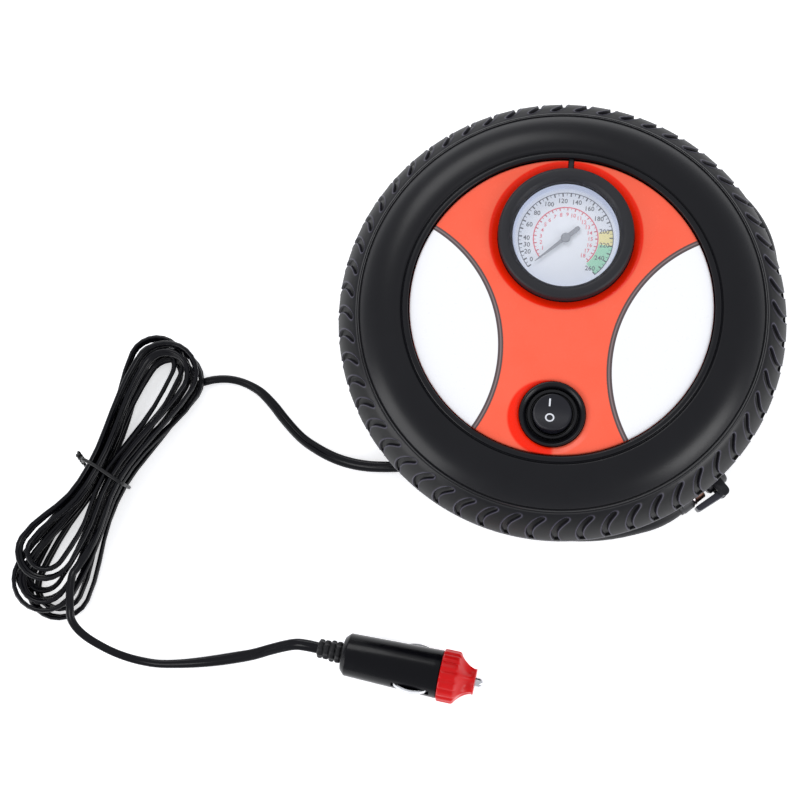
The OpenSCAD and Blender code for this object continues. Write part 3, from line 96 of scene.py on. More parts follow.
class Graph:
    """A node tree that is written as Python expressions."""

    def __init__(self, tree):
        self.tree = tree

    def node(self, kind, settings=None, inputs=None, out=0):
        made = self.tree.nodes.new(kind)
        for key, value in (settings or {}).items():
            setattr(made, key, value)
        pairs = inputs.items() if isinstance(inputs, dict) else enumerate(inputs or [])
        for key, value in pairs:
            if isinstance(value, Wire):
                self.tree.links.new(value.socket, made.inputs[key])
            elif value is not None:
                made.inputs[key].default_value = value
        return Wire(self, made.outputs[out]) if len(made.outputs) else None

    def vector(self, x=0.0, y=0.0, z=0.0):
        return self.node("ShaderNodeCombineXYZ", {}, [x, y, z])

    def split(self, vector):
        made = self.node("ShaderNodeSeparateXYZ", {}, [vector]).socket.node
        return [Wire(self, socket) for socket in made.outputs]


print("a Wire answers + - * / ** and step; a Graph makes any node")

# %% [markdown]
# ## Finishes
# A moulded or turned part is never one flat colour: the resin flows unevenly, the mould
# leaves a fine grain, and handling polishes it in patches. Each finish here starts from a
# Principled shader whose fixed numbers sit on its own sockets. Noise on Object coordinates
# then shifts the colour and the roughness a little and lifts a fine bump, at the scale of
# the real grain in millimetres.

# %% Screen colours
def srgb(*levels):
    """A colour given as 0 to 255 screen levels, as linear light."""
    linear = [(v / 255 / 12.92 if v < 10.3 else ((v / 255 + 0.055) / 1.055) ** 2.4)
              for v in levels]
    return (*linear, 1.0)


def shade(colour, factor):
    return (*[min(1.0, c * factor) for c in colour[:3]], 1.0)


print("middle grey in linear light:", round(srgb(128)[0], 3))

# %% Finish class
class Finish(Graph):
    """A material with a Principled shader, patterned on Object coordinates."""

    def __init__(self, name, colour, rough, metal=0.0, **fixed):
        self.material = bpy.data.materials.new(name)
        self.material.use_nodes = True
        super().__init__(self.material.node_tree)
        self.shader = self.tree.nodes["Principled BSDF"]
        self.place = self.node("ShaderNodeTexCoord", {}, {}, "Object")
        self.colour = colour
        self.set("Base Color", colour)
        self.set("Roughness", rough)
        self.set("Metallic", metal)
        for key, value in fixed.items():
            self.set(key.replace("_", " "), value)

    def set(self, name, value):
        socket = self.shader.inputs[name]
        if isinstance(value, Wire):
            self.tree.links.new(value.socket, socket)
        else:
            socket.default_value = value

    def noise(self, size, detail=2.0, place=None):
        """Even noise from 0 to 1 whose grains are size millimetres across."""
        return self.node("ShaderNodeTexNoise", {},
                         {"Vector": place or self.place, "Scale": 1 / (size * MM),
                          "Detail": detail, "Roughness": 0.5})

    def mix(self, factor, first, second):
        return self.node("ShaderNodeMix", {"data_type": "RGBA"},
                         {0: factor, 6: first, 7: second}, 2)

    def attribute(self, name):
        return self.node("ShaderNodeAttribute", {"attribute_name": name}, {}, "Fac")

    def ring(self, x, y):
        """Distance in millimetres from an upright line through (x, y)."""
        across, along, _ = self.split(self.place)
        a, b = across * 1000 - x, along * 1000 - y
        return (a * a + b * b) ** 0.5

    def bump(self, height, lift):
        """Feeds a height from 0 to 1, lift millimetres high, to the normal."""
        self.set("Normal", self.node("ShaderNodeBump", {},
                                     {"Strength": 1.0, "Distance": lift * MM,
                                      "Height": height}, "Normal"))


print("a Finish starts with", sum(not name.startswith("_") for name in vars(Finish)), "helpers")

# %% Moulded and turned finishes
MOULD_CLOUD, MOULD_PATCH, GLOSS_DRIFT = 9, 2.5, 0.16
METAL_CLOUD, TARNISH, SCRATCH_DRIFT = 3, 0.82, 0.14


def moulded(name, colour, rough, grain=0.35, lift=0.006, drift=0.12, **fixed):
    """A moulded plastic or rubber: cloudy colour, patchy gloss and a fine grain."""
    made = Finish(name, colour, rough, **fixed)
    cloud = made.noise(MOULD_CLOUD, 3)
    made.set("Base Color", made.mix(cloud, shade(colour, 1 - drift), shade(colour, 1 + drift)))
    made.set("Roughness", rough + (made.noise(MOULD_PATCH) - 0.5) * GLOSS_DRIFT)
    made.bump(made.noise(grain, 1), lift)
    return made


def turned(name, colour, rough, scratch=0.25, lift=0.002, **fixed):
    """A bare metal: faint tarnish in clouds and fine machining marks."""
    made = Finish(name, colour, rough, 1.0, **fixed)
    cloud = made.noise(METAL_CLOUD, 3)
    made.set("Base Color", made.mix(cloud, shade(colour, TARNISH), colour))
    made.set("Roughness", rough + made.noise(scratch, 2) * SCRATCH_DRIFT)
    made.bump(made.noise(scratch, 1), lift)
    return made


print("clouds in mouldings:", MOULD_CLOUD, "mm; in metals:", METAL_CLOUD, "mm")

# %% [markdown]
# ## Making pieces
# Each piece is a mesh whose place is in its points, on a body of the frame, so that it
# moves when the body does. The helpers below take millimetres, close the shape, turn its
# faces outwards and shade it smoothly up to a crease angle. A lathe covers everything that
# is turned about a line, which on this object is most of what shows.

# %% Solids and their dressing
def linked(name, data):
    """A new object of the scene, at the origin."""
    made = bpy.data.objects.new(name, data)
    scene.collection.objects.link(made)
    return made


def dress(piece, finish, body, replaced=(), slot=None, crease=35):
    """Shades, paints and mounts a finished piece."""
    piece.data.materials.clear()
    piece.data.materials.append(finish.material)
    piece.data.shade_smooth()
    piece.data.set_sharp_from_angle(angle=math.radians(crease))
    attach(piece, body)
    if replaced:
        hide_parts(*replaced)
    return piece


def solid(name, points, faces, recalculate=True):
    """A mesh object from points in millimetres, merged and facing outwards."""
    mesh = bpy.data.meshes.new(name)
    mesh.from_pydata([Vector(p) * MM for p in points], [], faces)
    work = bmesh.new()
    work.from_mesh(mesh)
    bmesh.ops.remove_doubles(work, verts=work.verts, dist=1e-7)
    if recalculate:
        bmesh.ops.recalc_face_normals(work, faces=work.faces)
    work.to_mesh(mesh)
    work.free()
    return linked(name, mesh)


# %% Lathe and sections
AXIS_R = 1e-6


def lathe(profile, sides=96):
    """Points and faces of a closed outline of (radius, height) pairs turned about Z."""
    points, faces = [], []
    for i in range(sides):
        turn = 2 * math.pi * i / sides
        points += [(r * math.cos(turn), r * math.sin(turn), z) for r, z in profile]
    count = len(profile)
    for i in range(sides):
        here, there = i * count, (i + 1) % sides * count
        for k in range(count):
            n = (k + 1) % count
            if profile[k][0] < AXIS_R and profile[n][0] < AXIS_R:
                continue
            ring = [here + k, here + n, there + n, there + k]
            if profile[k][0] < AXIS_R:
                ring = [here + k, here + n, there + n]
            elif profile[n][0] < AXIS_R:
                ring = [here + k, here + n, there + k]
            faces.append(ring)
    return points, faces


def moved(points, x=0.0, y=0.0, z=0.0):
    return [(p[0] + x, p[1] + y, p[2] + z) for p in points]


def around(x, y, radius, degrees):
    """The point on a circle at an angle."""
    t = math.radians(degrees)
    return x + radius * math.cos(t), y + radius * math.sin(t)


def arc(x, z, radius, first, last, steps):
    """Points on an arc in section, with angles in degrees."""
    return [around(x, z, radius, first + (last - first) * i / steps)
            for i in range(steps + 1)]


def join(*parts):
    """Several (points, faces) pairs as one."""
    points, faces = [], []
    for more, sides in parts:
        faces += [[i + len(points) for i in side] for side in sides]
        points += more
    return points, faces


def turned_piece(name, profile, sides, y, *dressing):
    """A piece turned about the upright line at x = 0 and y, and dressed."""
    points, faces = lathe(profile, sides)
    return dress(solid(name, moved(points, 0, y), faces), *dressing)


print("a round of 96 sides strays", round(100 * (1 - math.cos(math.pi / 96)), 3), "% inwards")

# %% Modifiers and Geometry Nodes
def settle(thing, name):
    """The evaluated thing as a plain mesh object of its own; the thing is removed."""
    evaluated = thing.evaluated_get(bpy.context.evaluated_depsgraph_get())
    mesh = bpy.data.meshes.new_from_object(evaluated)
    mesh.name = name
    old = thing.data
    bpy.data.objects.remove(thing)
    (bpy.data.meshes if isinstance(old, bpy.types.Mesh) else bpy.data.curves).remove(old)
    return linked(name, mesh)


def geometry_graph(name, sockets):
    """A Geometry Nodes graph, its modifier inputs by name, and its input wires."""
    tree = bpy.data.node_groups.new(name, "GeometryNodeTree")
    tree.interface.new_socket("Geometry", in_out="INPUT", socket_type="NodeSocketGeometry")
    for label, (kind, value) in sockets.items():
        socket = tree.interface.new_socket(label, in_out="INPUT",
                                           socket_type="NodeSocket" + kind)
        socket.default_value = value
    tree.interface.new_socket("Geometry", in_out="OUTPUT", socket_type="NodeSocketGeometry")
    graph = Graph(tree)
    entry = tree.nodes.new("NodeGroupInput")
    wires = {socket.name: Wire(graph, socket) for socket in entry.outputs if socket.name}
    return graph, wires


def close_graph(graph, shape, finish):
    """Ends a graph in Realize Instances and Set Material."""
    real = graph.node("GeometryNodeRealizeInstances", {}, [shape])
    painted = graph.node("GeometryNodeSetMaterial", {},
                         {"Geometry": real, "Material": finish.material})
    graph.node("NodeGroupOutput", {}, [painted])


def grown(thing, name, graph, **values):
    """Thing after the graph, as a plain mesh: Half_Width stands for the input Half Width."""
    modifier = thing.modifiers.new("grow", "NODES")
    modifier.node_group = graph.tree
    for item in graph.tree.interface.items_tree:
        key = item.name.replace(" ", "_")
        if item.in_out == "INPUT" and key in values:
            modifier[item.identifier] = values[key]
    return settle(thing, name)


print("helpers for graphs: geometry_graph, close_graph, grown")

# %% [markdown]
# ## Camera, floor and light
# The camera stands high over the wheel and looks down on its face, slightly rolled, with a
# long lens. A product like this is lit in a white tent: a broad soft light overhead, two
# weaker ones at the sides to draw the edges of the black tyre, and a floor so pale that
# its shadow is only a breath.

# %% Camera
camera = linked("camera", bpy.data.cameras.new("camera"))
scene.camera = camera
camera.data.lens = 72
camera.data.sensor_width = 36
camera.data.clip_start, camera.data.clip_end = 0.01, 20
RIGHT, UP, BACK = (0.9921, 0.0914, -0.0865), (-0.0747, 0.9808, 0.1800), (0.1012, -0.1721, 0.9799)
STAND = (0.003631, -0.140834, 0.627359)
camera.matrix_world = Matrix([(RIGHT[i], UP[i], BACK[i], STAND[i]) for i in range(3)]
                             + [(0, 0, 0, 1)])
print("camera at", [round(v, 3) for v in camera.location])

# %% Floor and lights
FLOOR_HALF, FLOOR_Z = 3000, -0.05
paper = Finish("floor_paper", srgb(250, 250, 250), 0.6)
paper.set("Base Color", paper.mix(paper.noise(40, 2), srgb(249, 249, 250), srgb(251, 251, 251)))
paper.set("Emission Color", (1.0, 1.0, 1.0, 1.0))
paper.set("Emission Strength", 0.5)
corners = ((-1, -1), (1, -1), (1, 1), (-1, 1))
floor = solid("floor", [(FLOOR_HALF * x, FLOOR_HALF * y, FLOOR_Z) for x, y in corners],
              [[0, 1, 2, 3]], False)
floor.data.materials.append(paper.material)


def softbox(name, at, towards, width, depth, watts):
    """A rectangular area light at a point in metres, aimed at another."""
    data = bpy.data.lights.new(name, "AREA")
    data.shape = "RECTANGLE"
    data.size, data.size_y, data.energy = width, depth, watts
    lamp = linked(name, data)
    lamp.location = at
    lamp.rotation_euler = (Vector(towards) - Vector(at)).to_track_quat("-Z", "Y").to_euler()


softbox("tent_roof", (-0.5, 0.95, 1.0), (0.0, 0.0, 0.0), 0.8, 0.6, 6.0)
softbox("tent_left", (-0.98, -0.64, 0.34), (0.0, 0.0, 0.03), 0.8, 0.55, 5.0)
softbox("tent_right", (0.95, -0.55, 0.5), (0.0, 0.0, 0.03), 0.6, 0.5, 5.0)

world = bpy.data.worlds.new("tent")
scene.world = world
world.use_nodes = True
tent = world.node_tree.nodes["Background"]
tent.inputs["Color"].default_value = (0.93, 0.95, 1.0, 1.0)
tent.inputs["Strength"].default_value = 0.72
scene.view_settings.view_transform = "Standard"

# %% [markdown]
# ## The power lead
# The lead is one soft length of flat twin cable: it leaves the back of the case on the
# left, runs to a hank of eight loops tied at the waist, and comes back along the floor to
# the plug. It could be a bevelled curve, but a round bevel has no twin ribs. So its route
# is a plain curve, and Geometry Nodes sweep a waisted section along it, which turns a
# little from place to place as such a cable does. The hank is a formula: each loop runs
# up one side, round a lobe and back, and the loops spiral in and out in four layers.

# %% Free stretches of the lead, in millimetres
lead_points = [(-36, -58, 4.8), (-44, -58, 4.8), (-52, -58, 4.8), (-58, -58.1, 4.6),
               (-64, -58.5, 3.8), (-71, -58.6, 2.6), (-78, -57.9, 1.8), (-85, -56.2, 1.5),
               (-92, -53.3, 1.5), (-99, -49.2, 1.5), (-106, -42.9, 1.5), (-112, -36.6, 1.5),
               (-118, -31.6, 1.5), (-125, -28.6, 1.5), (-131.5, -27.7, 1.5),
               (-138, -28.6, 1.5)]
tail_points = [(-182.3, -117.4, 11.9), (-181.4, -124.6, 11.9), (-180.8, -128.6, 10.8),
               (-178.6, -132.1, 9.1), (-174.9, -135.1, 7.3), (-170.2, -137.6, 5.6),
               (-164.6, -139.9, 4), (-158.5, -141.6, 2.7), (-152, -142.6, 1.9),
               (-146, -142.9, 1.5), (-139, -142.3, 1.5), (-131, -141.1, 1.5),
               (-123, -139.5, 1.9), (-115, -137.6, 2.8), (-108.5, -135.9, 4.2),
               (-102, -133.6, 6.2), (-96, -131.7, 8.3), (-91.5, -130.7, 9.6),
               (-87.5, -130.75, 10), (-82.8, -131.3, 10), (-70.9, -132.74, 10)]
print("chosen points:", len(lead_points), "to the hank and", len(tail_points), "to the plug")

# %% Outline of the hank
LEAD_D, STRAND_STEP = 3.0, 3.45
LOOPS, LAYERS, LOOP_POINTS, OVERRUN = 8, 4, 48, 6
LAYER_TURNS = LOOPS / LAYERS
WAIST = (LAYER_TURNS + 0.2) * STRAND_STEP
LOBE_R, HANK_L = 13.5, 120
LOBE_U = HANK_L / 2 - LEAD_D / 2 - LOBE_R
HANK_AT, HANK_AXIS = (-175, -71), math.radians(67)


def hank_outline(turn):
    """A point of the hank's outline: along its axis and across it."""
    quarter = 4 * (turn - math.floor(turn))
    k = int(quarter)
    q = quarter - k if k % 2 == 0 else 1 - (quarter - k)
    if q < 0.5:
        u = LOBE_U * 2 * q
        v = WAIST + (LOBE_R - WAIST) * (1 - math.cos(math.pi * u / LOBE_U)) / 2
    else:
        u = LOBE_U + LOBE_R * math.sin((q - 0.5) * math.pi)
        v = LOBE_R * math.cos((q - 0.5) * math.pi)
    return Vector((-u if k < 2 else u, v if k in (0, 3) else -v))


print("hank: half", WAIST, "mm wide at its waist,", LOBE_R, "mm at its lobes")

# %% Layers of the hank
FAR_PUSH = [Vector(p) for p in ((1, -1), (0, 3.5), (3, -3.5), (1, 2))]
NEAR_PUSH = [Vector(p) for p in ((2, 4), (0, -3), (2, -1), (-8, -4.5))]
FAN_FROM, FAN_TO = 14, 50
WAIST_LIFT, WAIST_SPAN, PROBE = 1.35, 14, 0.002


def ramp(x, low, high):
    t = min(1, max(0, (x - low) / (high - low)))
    return t * t * (3 - 2 * t)


def pushed(place, level):
    """Shifts a lobe along and across the hank by its layer, so that the loops fan out."""
    k = min(LAYERS - 2, math.floor(level))
    table = FAR_PUSH if place.x > 0 else NEAR_PUSH
    push = table[k].lerp(table[k + 1], level - k)
    away = 1 if place.x > 0 else -1
    return place + Vector((away * push.x * ramp(abs(place.x), 0, FAN_TO),
                           push.y * ramp(abs(place.x), FAN_FROM, FAN_TO)))


def hank_point(turn):
    """A point of the strand after so many turns, spiralling in and out and climbing."""
    away = hank_outline(turn + PROBE) - hank_outline(turn - PROBE)
    inward = Vector((-away.y, away.x)).normalized()
    phase = turn / LAYER_TURNS
    part = phase - math.floor(phase)
    depth = LAYER_TURNS * (part if math.floor(phase) % 2 == 0 else 1 - part)
    depth = turn if turn < 0 else LOOPS - turn if turn > LOOPS else depth
    layer = math.floor(phase + 0.5)
    rise = min(1, max(0, 4 * (turn - layer * LAYER_TURNS) + 0.5))
    climb = max(0, min(LAYERS - 1, layer - 1 + (1 - math.cos(math.pi * rise)) / 2))
    u, v = pushed(hank_outline(turn) + STRAND_STEP * depth * inward, climb)
    lift = WAIST_LIFT * math.exp(-((u / WAIST_SPAN) ** 2))
    c, s = math.cos(HANK_AXIS), math.sin(HANK_AXIS)
    return Vector((HANK_AT[0] + u * c + v * s, HANK_AT[1] + u * s - v * c,
                   LEAD_D / 2 + lift + STRAND_STEP * climb))


hank = [hank_point(i / LOOP_POINTS) for i in range(-OVERRUN, LOOP_POINTS * LOOPS + OVERRUN + 1)]
print("hank:", len(hank), "points in", LAYERS, "layers")

# %% Whole route
def through(points, steps=4):
    """A smooth line through points: Catmull-Rom, with steps spans between neighbours."""
    line = [Vector(p) for p in points]
    line = [2 * line[0] - line[1], *line, 2 * line[-1] - line[-2]]
    made = []
    for a, b, c, d in zip(line, line[1:], line[2:], line[3:]):
        for i in range(steps):
            t = i / steps
            made.append(0.5 * (2 * b + (c - a) * t + (2 * a - 5 * b + 4 * c - d) * t * t
                               + (3 * b - a - 3 * c + d) * t ** 3))
    return made + [line[-2]]


arrive, leave = (hank[1] - hank[0]).normalized(), (hank[-1] - hank[-2]).normalized()
first_run = through([*lead_points, hank[0] - LEAD_D * arrive, hank[0]])
lead_line = (first_run[:-1] + hank
             + through([hank[-1], hank[-1] + LEAD_D * leave, *tail_points])[1:])


def run(line):
    return sum((b - a).length for a, b in zip(line, line[1:]))


lead_length, hank_from = run(lead_line), run(first_run)
hank_to = hank_from + run(hank)
print("lead:", len(lead_line), "points,", round(lead_length), "mm")

# %% Twin cable swept along its route
cord_black = moulded("cord_black", srgb(7, 7, 12), 0.24, grain=0.5, lift=0.004,
                     Specular_IOR_Level=0.22)


def curve_piece(name, line):
    """A curve object with one open straight-sided spline through points in millimetres."""
    data = bpy.data.curves.new(name, "CURVE")
    data.dimensions = "3D"
    spline = data.splines.new("POLY")
    spline.points.add(len(line) - 1)
    for point, at in zip(spline.points, line):
        point.co = (*(Vector(at) * MM), 1)
    return linked(name, data)


LEAN_EASE = 0.02
SPREAD_BEFORE, SPREAD_AFTER, SPREAD_EASE = 0.02, 0.06, 0.03


def sweep_graph(name, finish, sides):
    """Sweeps a section, waisted where Waist is less than Half Width, along a curve.

    Between Lean From and Lean To, in millimetres along it, the section leans over, and
    outside that stretch Spread makes it broader.
    """
    graph, given = geometry_graph(name, {"Half Width": ("Float", 1.6), "Waist": ("Float", 1.0),
                                         "Sway": ("Float", 0.0), "Sway Length": ("Float", 60.0),
                                         "Lean": ("Float", 0.0), "Lean From": ("Float", 0.0),
                                         "Lean To": ("Float", 0.0), "Spread": ("Float", 0.0)})
    circle = graph.node("GeometryNodeCurvePrimitiveCircle", {},
                        {"Resolution": sides, "Radius": 1.0})
    spot = graph.node("GeometryNodeInputPosition")
    x, y, _ = graph.split(spot)
    wide, thick = given["Half Width"] * MM, given["Waist"] * MM
    reach = (wide * wide * x * x + thick * thick * y * y) ** 0.5
    section = graph.node("GeometryNodeSetPosition", {},
                         {"Geometry": circle, "Position": graph.vector(x * reach, y * reach)})
    along = graph.node("GeometryNodeSplineParameter", out="Length")
    wander = graph.node("ShaderNodeTexNoise", {"noise_dimensions": "1D"},
                        {"W": along * 1000 / given["Sway Length"], "Scale": 1.0, "Detail": 0.0})
    first, last = given["Lean From"] * MM, given["Lean To"] * MM
    lean = (along.step(first, first + LEAN_EASE) * along.step(last, last - LEAN_EASE)
            * given["Lean"])
    packed = (along.step(first - SPREAD_BEFORE - SPREAD_EASE, first - SPREAD_BEFORE)
              * along.step(last + SPREAD_AFTER + SPREAD_EASE, last + SPREAD_AFTER))
    size = 1 + given["Spread"] * (1 - packed)
    level = graph.node("GeometryNodeSetCurveNormal", {"mode": "Z_UP"}, [given["Geometry"]])
    tilted = graph.node("GeometryNodeSetCurveTilt", {},
                        {"Curve": level, "Tilt": (wander - 0.5) * given["Sway"] + lean})
    tube = graph.node("GeometryNodeCurveToMesh", {},
                      {"Curve": tilted, "Profile Curve": section, "Scale": size,
                       "Fill Caps": True})
    close_graph(graph, tube, finish)
    return graph


def swept(name, line, graph, **sizes):
    """A plain mesh swept along a line by a sweep graph."""
    return grown(curve_piece(name + "_route", line), name, graph, **sizes)


cable_sweep = sweep_graph("cable_sweep", cord_black, 24)
power_lead = swept("power_lead", lead_line, cable_sweep,
                   Half_Width=1.6, Waist=0.62, Sway=2.1, Sway_Length=45.0, Spread=0.4,
                   Lean=math.radians(62), Lean_From=hank_from, Lean_To=hank_to)
dress(power_lead, cord_black, "case", ["cord_lead", "cord_hank", "cord_tail"], "cord_black", 60)
print("power lead:", len(power_lead.data.polygons), "faces")

# %% [markdown]
# ## The tyre
# The case is moulded as a little tyre: a raised bead round the face, a swollen side wall,
# a fine double line at the step and 56 curled grooves down the tread. It could be one
# lathe with the grooves cut by booleans, which leaves ragged shading. Since its shape
# follows a rule, one pitch of it is laid out as a grid whose columns run along the groove,
# so that the lips lie on mesh edges, and Geometry Nodes turn that pitch round the axis 56
# times and merge the seams.

# %% Section of the tyre
TREAD_R = 85
CROWN, SHOULDER = (61, 28, 24), (67.86, 32.12, 16)
SEAT_R, SEAT_Z, BEAD_Z = 56.2, 49, 53.4
WALL_IN, WALL_OUT = Vector((59.9, 52.95)), Vector((74.5, 47.3))
LEDGE_TURN, BAND_R, RIM_DROP = 8.4, 23.6, 9.3


def swollen(first, last, height, steps):
    """A side wall that swells out between two points of the section."""
    span = last - first
    out = Vector((-span.y, span.x)).normalized()
    return [tuple(first + span * t + out * 4 * height * t * (1 - t))
            for t in (i / steps for i in range(steps + 1))]


bead = [(SEAT_R, SEAT_Z), (SEAT_R, 51.5), (SEAT_R, 52.6), *arc(57, 52.6, 0.8, 165, 90, 4),
        (57.8, BEAD_Z), (58.15, 53.28), (58.35, 52.95), (58.5, 52.62), (58.75, 52.5),
        (59.0, 52.62), (59.25, 52.9), (59.55, 53.0)]
double_line = [(74.72, 47.08), (74.86, 46.62), (75.02, 46.6), (75.2, 46.86), (75.45, 46.9),
               (75.66, 46.62), (75.8, 46.12), (75.98, 46.02), (76.2, 46.1)]
shoulder = arc(*SHOULDER, 57, 31, 22)
crown = arc(*CROWN, 31, LEDGE_TURN, 20)[1:]
ledge = [around(*CROWN[:2], r, t)
         for r, t in ((24, 8.0), (23.95, 7.7), (23.85, 7.5), (23.7, 7.38))]
lower_band = arc(*CROWN[:2], BAND_R, 7.2, -math.degrees(math.asin(RIM_DROP / BAND_R)), 12)
inside = ([(80.05, 18.7)] + arc(61, 28, 21.2, -20, 31, 5) + arc(67.86, 32.12, 13.2, 36, 60, 2)
          + [(66, 48.6), (57.8, 46.5), (55, 46.5), (55, SEAT_Z)])
wall = bead + swollen(WALL_IN, WALL_OUT, 1.7, 14) + double_line
tread = shoulder + crown + ledge
section = wall + tread + lower_band + inside
print("tyre section:", len(section), "points")

# %% One pitch of the tread
GROOVES, GROOVE_HALF, GROOVE_DEPTH, GROOVE_END, GROOVE_WIDEST = 56, 1.25, 1.3, 17, 2.2
HEAD, FLOOR_REACH, FALL_WIDTH = 1.3, 1.02, 0.34
LIP_LIFT, LIP_REACH, LIP_WIDTH, LIP_FROM, SLOPE_PROBE = 0.14, 1.12, 0.13, 0.5, 0.4
drift_line = [(0, 0), (1.5, -0.5), (3.0, -2.0), (5.0, -3.9), (7.5, -5.15), (9.5, -5.5),
              (12, -5.4), (15, -4.6), (18, -4.1)]
LIPS = [-1.5, -1.22, -1.08, -0.94, -0.76, -0.4, 0.0, 0.4, 0.76, 0.94, 1.08, 1.22, 1.5]


def between(table, at):
    """Reading of a short table of (place, value) pairs."""
    for (a, v), (b, w) in zip(table, table[1:]):
        if at <= b:
            return v + (w - v) * max(0.0, (at - a) / (b - a))
    return table[-1][1]


def smooth_drift(at):
    return sum(between(drift_line, at + d) for d in (-1.2, -0.6, 0, 0.6, 1.2)) / 5


def tyre_pitch():
    """One groove's share of the tyre: points, faces, and each point's depth and lip."""
    points, depths, lips, columns = [], [], [], len(LIPS) + 4
    travelled = 0.0
    for k, (r, z) in enumerate(section):
        row = k - len(wall)
        on_tread = 0 <= row < len(tread)
        if on_tread and row:
            travelled += math.dist(section[k - 1], section[k])
        s = min(travelled, GROOVE_END)
        slope = 0.0
        if on_tread:
            change = smooth_drift(s + SLOPE_PROBE) - smooth_drift(s - SLOPE_PROBE)
            slope = change / 2 / SLOPE_PROBE
        half = min(GROOVE_HALF * math.sqrt(1 + slope * slope), GROOVE_WIDEST)
        edge = math.pi / GROOVES * r
        middle = (edge + LIPS[-1] * half) / 2
        centre = SHOULDER if row < len(shoulder) else CROWN
        normal = Vector((r - centre[0], z - centre[1])).normalized()
        shift = smooth_drift(s) / TREAD_R if row >= 0 else 0.0
        for u in [-edge, -middle, *[u * half for u in LIPS], middle, edge]:
            depth, lip = 0.0, 0.0
            if on_tread:
                reach = math.hypot(u / half, max(0.0, (HEAD + GROOVE_HALF - s) / GROOVE_HALF))
                depth = ramp(FLOOR_REACH - reach, 0, FALL_WIDTH)
                lip = math.exp(-((reach - LIP_REACH) / LIP_WIDTH) ** 2) if s > LIP_FROM else 0.0
            move = LIP_LIFT * lip - GROOVE_DEPTH * depth
            rr, zz = r + normal.x * move, z + normal.y * move
            turn = u / r + shift
            points.append((rr * math.cos(turn), rr * math.sin(turn), zz))
            depths.append(depth)
            # On the ledge the lip value is 1 outside the grooves, so the ledge gets the painted
            # highlight of the lips.
            on_ledge = len(tread) - len(ledge) - 1 <= row < len(tread) - 1
            lips.append(max(lip, 1 - depth) if on_ledge else lip)
    faces = []
    for k in range(len(section)):
        n = (k + 1) % len(section)
        for c in range(columns - 1):
            faces.append([k * columns + c, k * columns + c + 1,
                          n * columns + c + 1, n * columns + c])
    return points, faces, {"depth": depths, "lip": lips}


points, faces, layers = tyre_pitch()
print("one pitch:", len(faces), "faces")

# %% The case's black, with painted shade in the grooves and on the outer tread, and painted highlights on the lips
TREAD_SHADE_FROM = 77
black_case = moulded("black_case", srgb(14, 14, 18), 0.3, grain=0.3, lift=0.004,
                     Specular_IOR_Level=0.26)
hollow, lip_highlight = black_case.attribute("depth"), black_case.attribute("lip")
cloud = black_case.noise(12, 3)
plain = black_case.mix(cloud, srgb(12, 12, 16), srgb(16, 16, 20))
# From 77 mm out the tread is painted darker, a painted shade where it turns down towards the
# floor, and it is also made rougher.
outer_tread_shade = black_case.ring(0, 0).step(TREAD_SHADE_FROM, TREAD_SHADE_FROM + 2)
plain = black_case.mix(outer_tread_shade, plain, srgb(6, 6, 9))
# The grooves are painted nearly black: painted shade in the recesses.
plain = black_case.mix(hollow, plain, srgb(4, 4, 6))
# The lips and the ledge are painted pale lilac: painted highlights along their edges.
black_case.set("Base Color", black_case.mix(lip_highlight * 0.5, plain, srgb(104, 100, 120)))
black_case.set("Roughness", 0.26 + cloud * 0.08 + outer_tread_shade * 0.22 - lip_highlight * 0.06)

print("the tread darkens from", TREAD_SHADE_FROM, "mm out")

# %% The pitch turned round the axis
one_pitch = bpy.data.meshes.new("pitch")
one_pitch.from_pydata([Vector(p) * MM for p in points], [], faces)
for name, values in layers.items():
    one_pitch.attributes.new(name, "FLOAT", "POINT").data.foreach_set("value", values)
tyre_graph, given = geometry_graph("tyre_round", {"Grooves": ("Int", 8),
                                                  "Seam": ("Float", 0.002)})
spots = tyre_graph.node("GeometryNodePoints", {}, {"Count": given["Grooves"]})
index = tyre_graph.node("GeometryNodeInputIndex")
turn = tyre_graph.vector(0.0, 0.0, index * (2 * math.pi) / given["Grooves"])
rotation = tyre_graph.node("FunctionNodeEulerToRotation", {}, [turn])
round_it = tyre_graph.node("GeometryNodeInstanceOnPoints", {},
                           {"Points": spots, "Instance": given["Geometry"],
                            "Rotation": rotation})
whole = tyre_graph.node("GeometryNodeRealizeInstances", {}, [round_it])
merged = tyre_graph.node("GeometryNodeMergeByDistance", {},
                         {"Geometry": whole, "Distance": given["Seam"] * MM})
close_graph(tyre_graph, merged, black_case)
tyre = grown(linked("pitch", one_pitch), "tyre", tyre_graph, Grooves=GROOVES, Seam=0.003)


def outward(piece):
    """Turns a closed piece's faces out, by the sign of its volume."""
    work = bmesh.new()
    work.from_mesh(piece.data)
    open_edges = sum(len(e.link_faces) != 2 for e in work.edges)
    if work.calc_volume(signed=True) < 0:
        bmesh.ops.reverse_faces(work, faces=work.faces)
    work.to_mesh(piece.data)
    work.free()
    return open_edges


print("tyre:", len(tyre.data.polygons), "faces,", outward(tyre), "open edges")
dress(tyre, black_case, "case", ["tyre_shell"], "black_case", 50)

# %% [markdown]
# ## The face panel
# The face is one glossy orange moulding, a little higher in its middle, with a rounded rim
# and two openings whose edges fall away in a cone. It could be a disc with booleans and
# bevels, but its flat top would then be one huge face with poor shading. So a plate helper
# fills any outline with a constrained Delaunay net, reads each point's height from a
# formula, and closes the plate below. Rings of points follow the rim and the cones.

# %% Plate helper
FILL_STEP, NEAR_EDGE, ROW_PITCH = 1.9, 0.55, 0.866


def loop(x, y, radius, count):
    return [(x + radius * math.cos(2 * math.pi * i / count),
             y + radius * math.sin(2 * math.pi * i / count)) for i in range(count)]


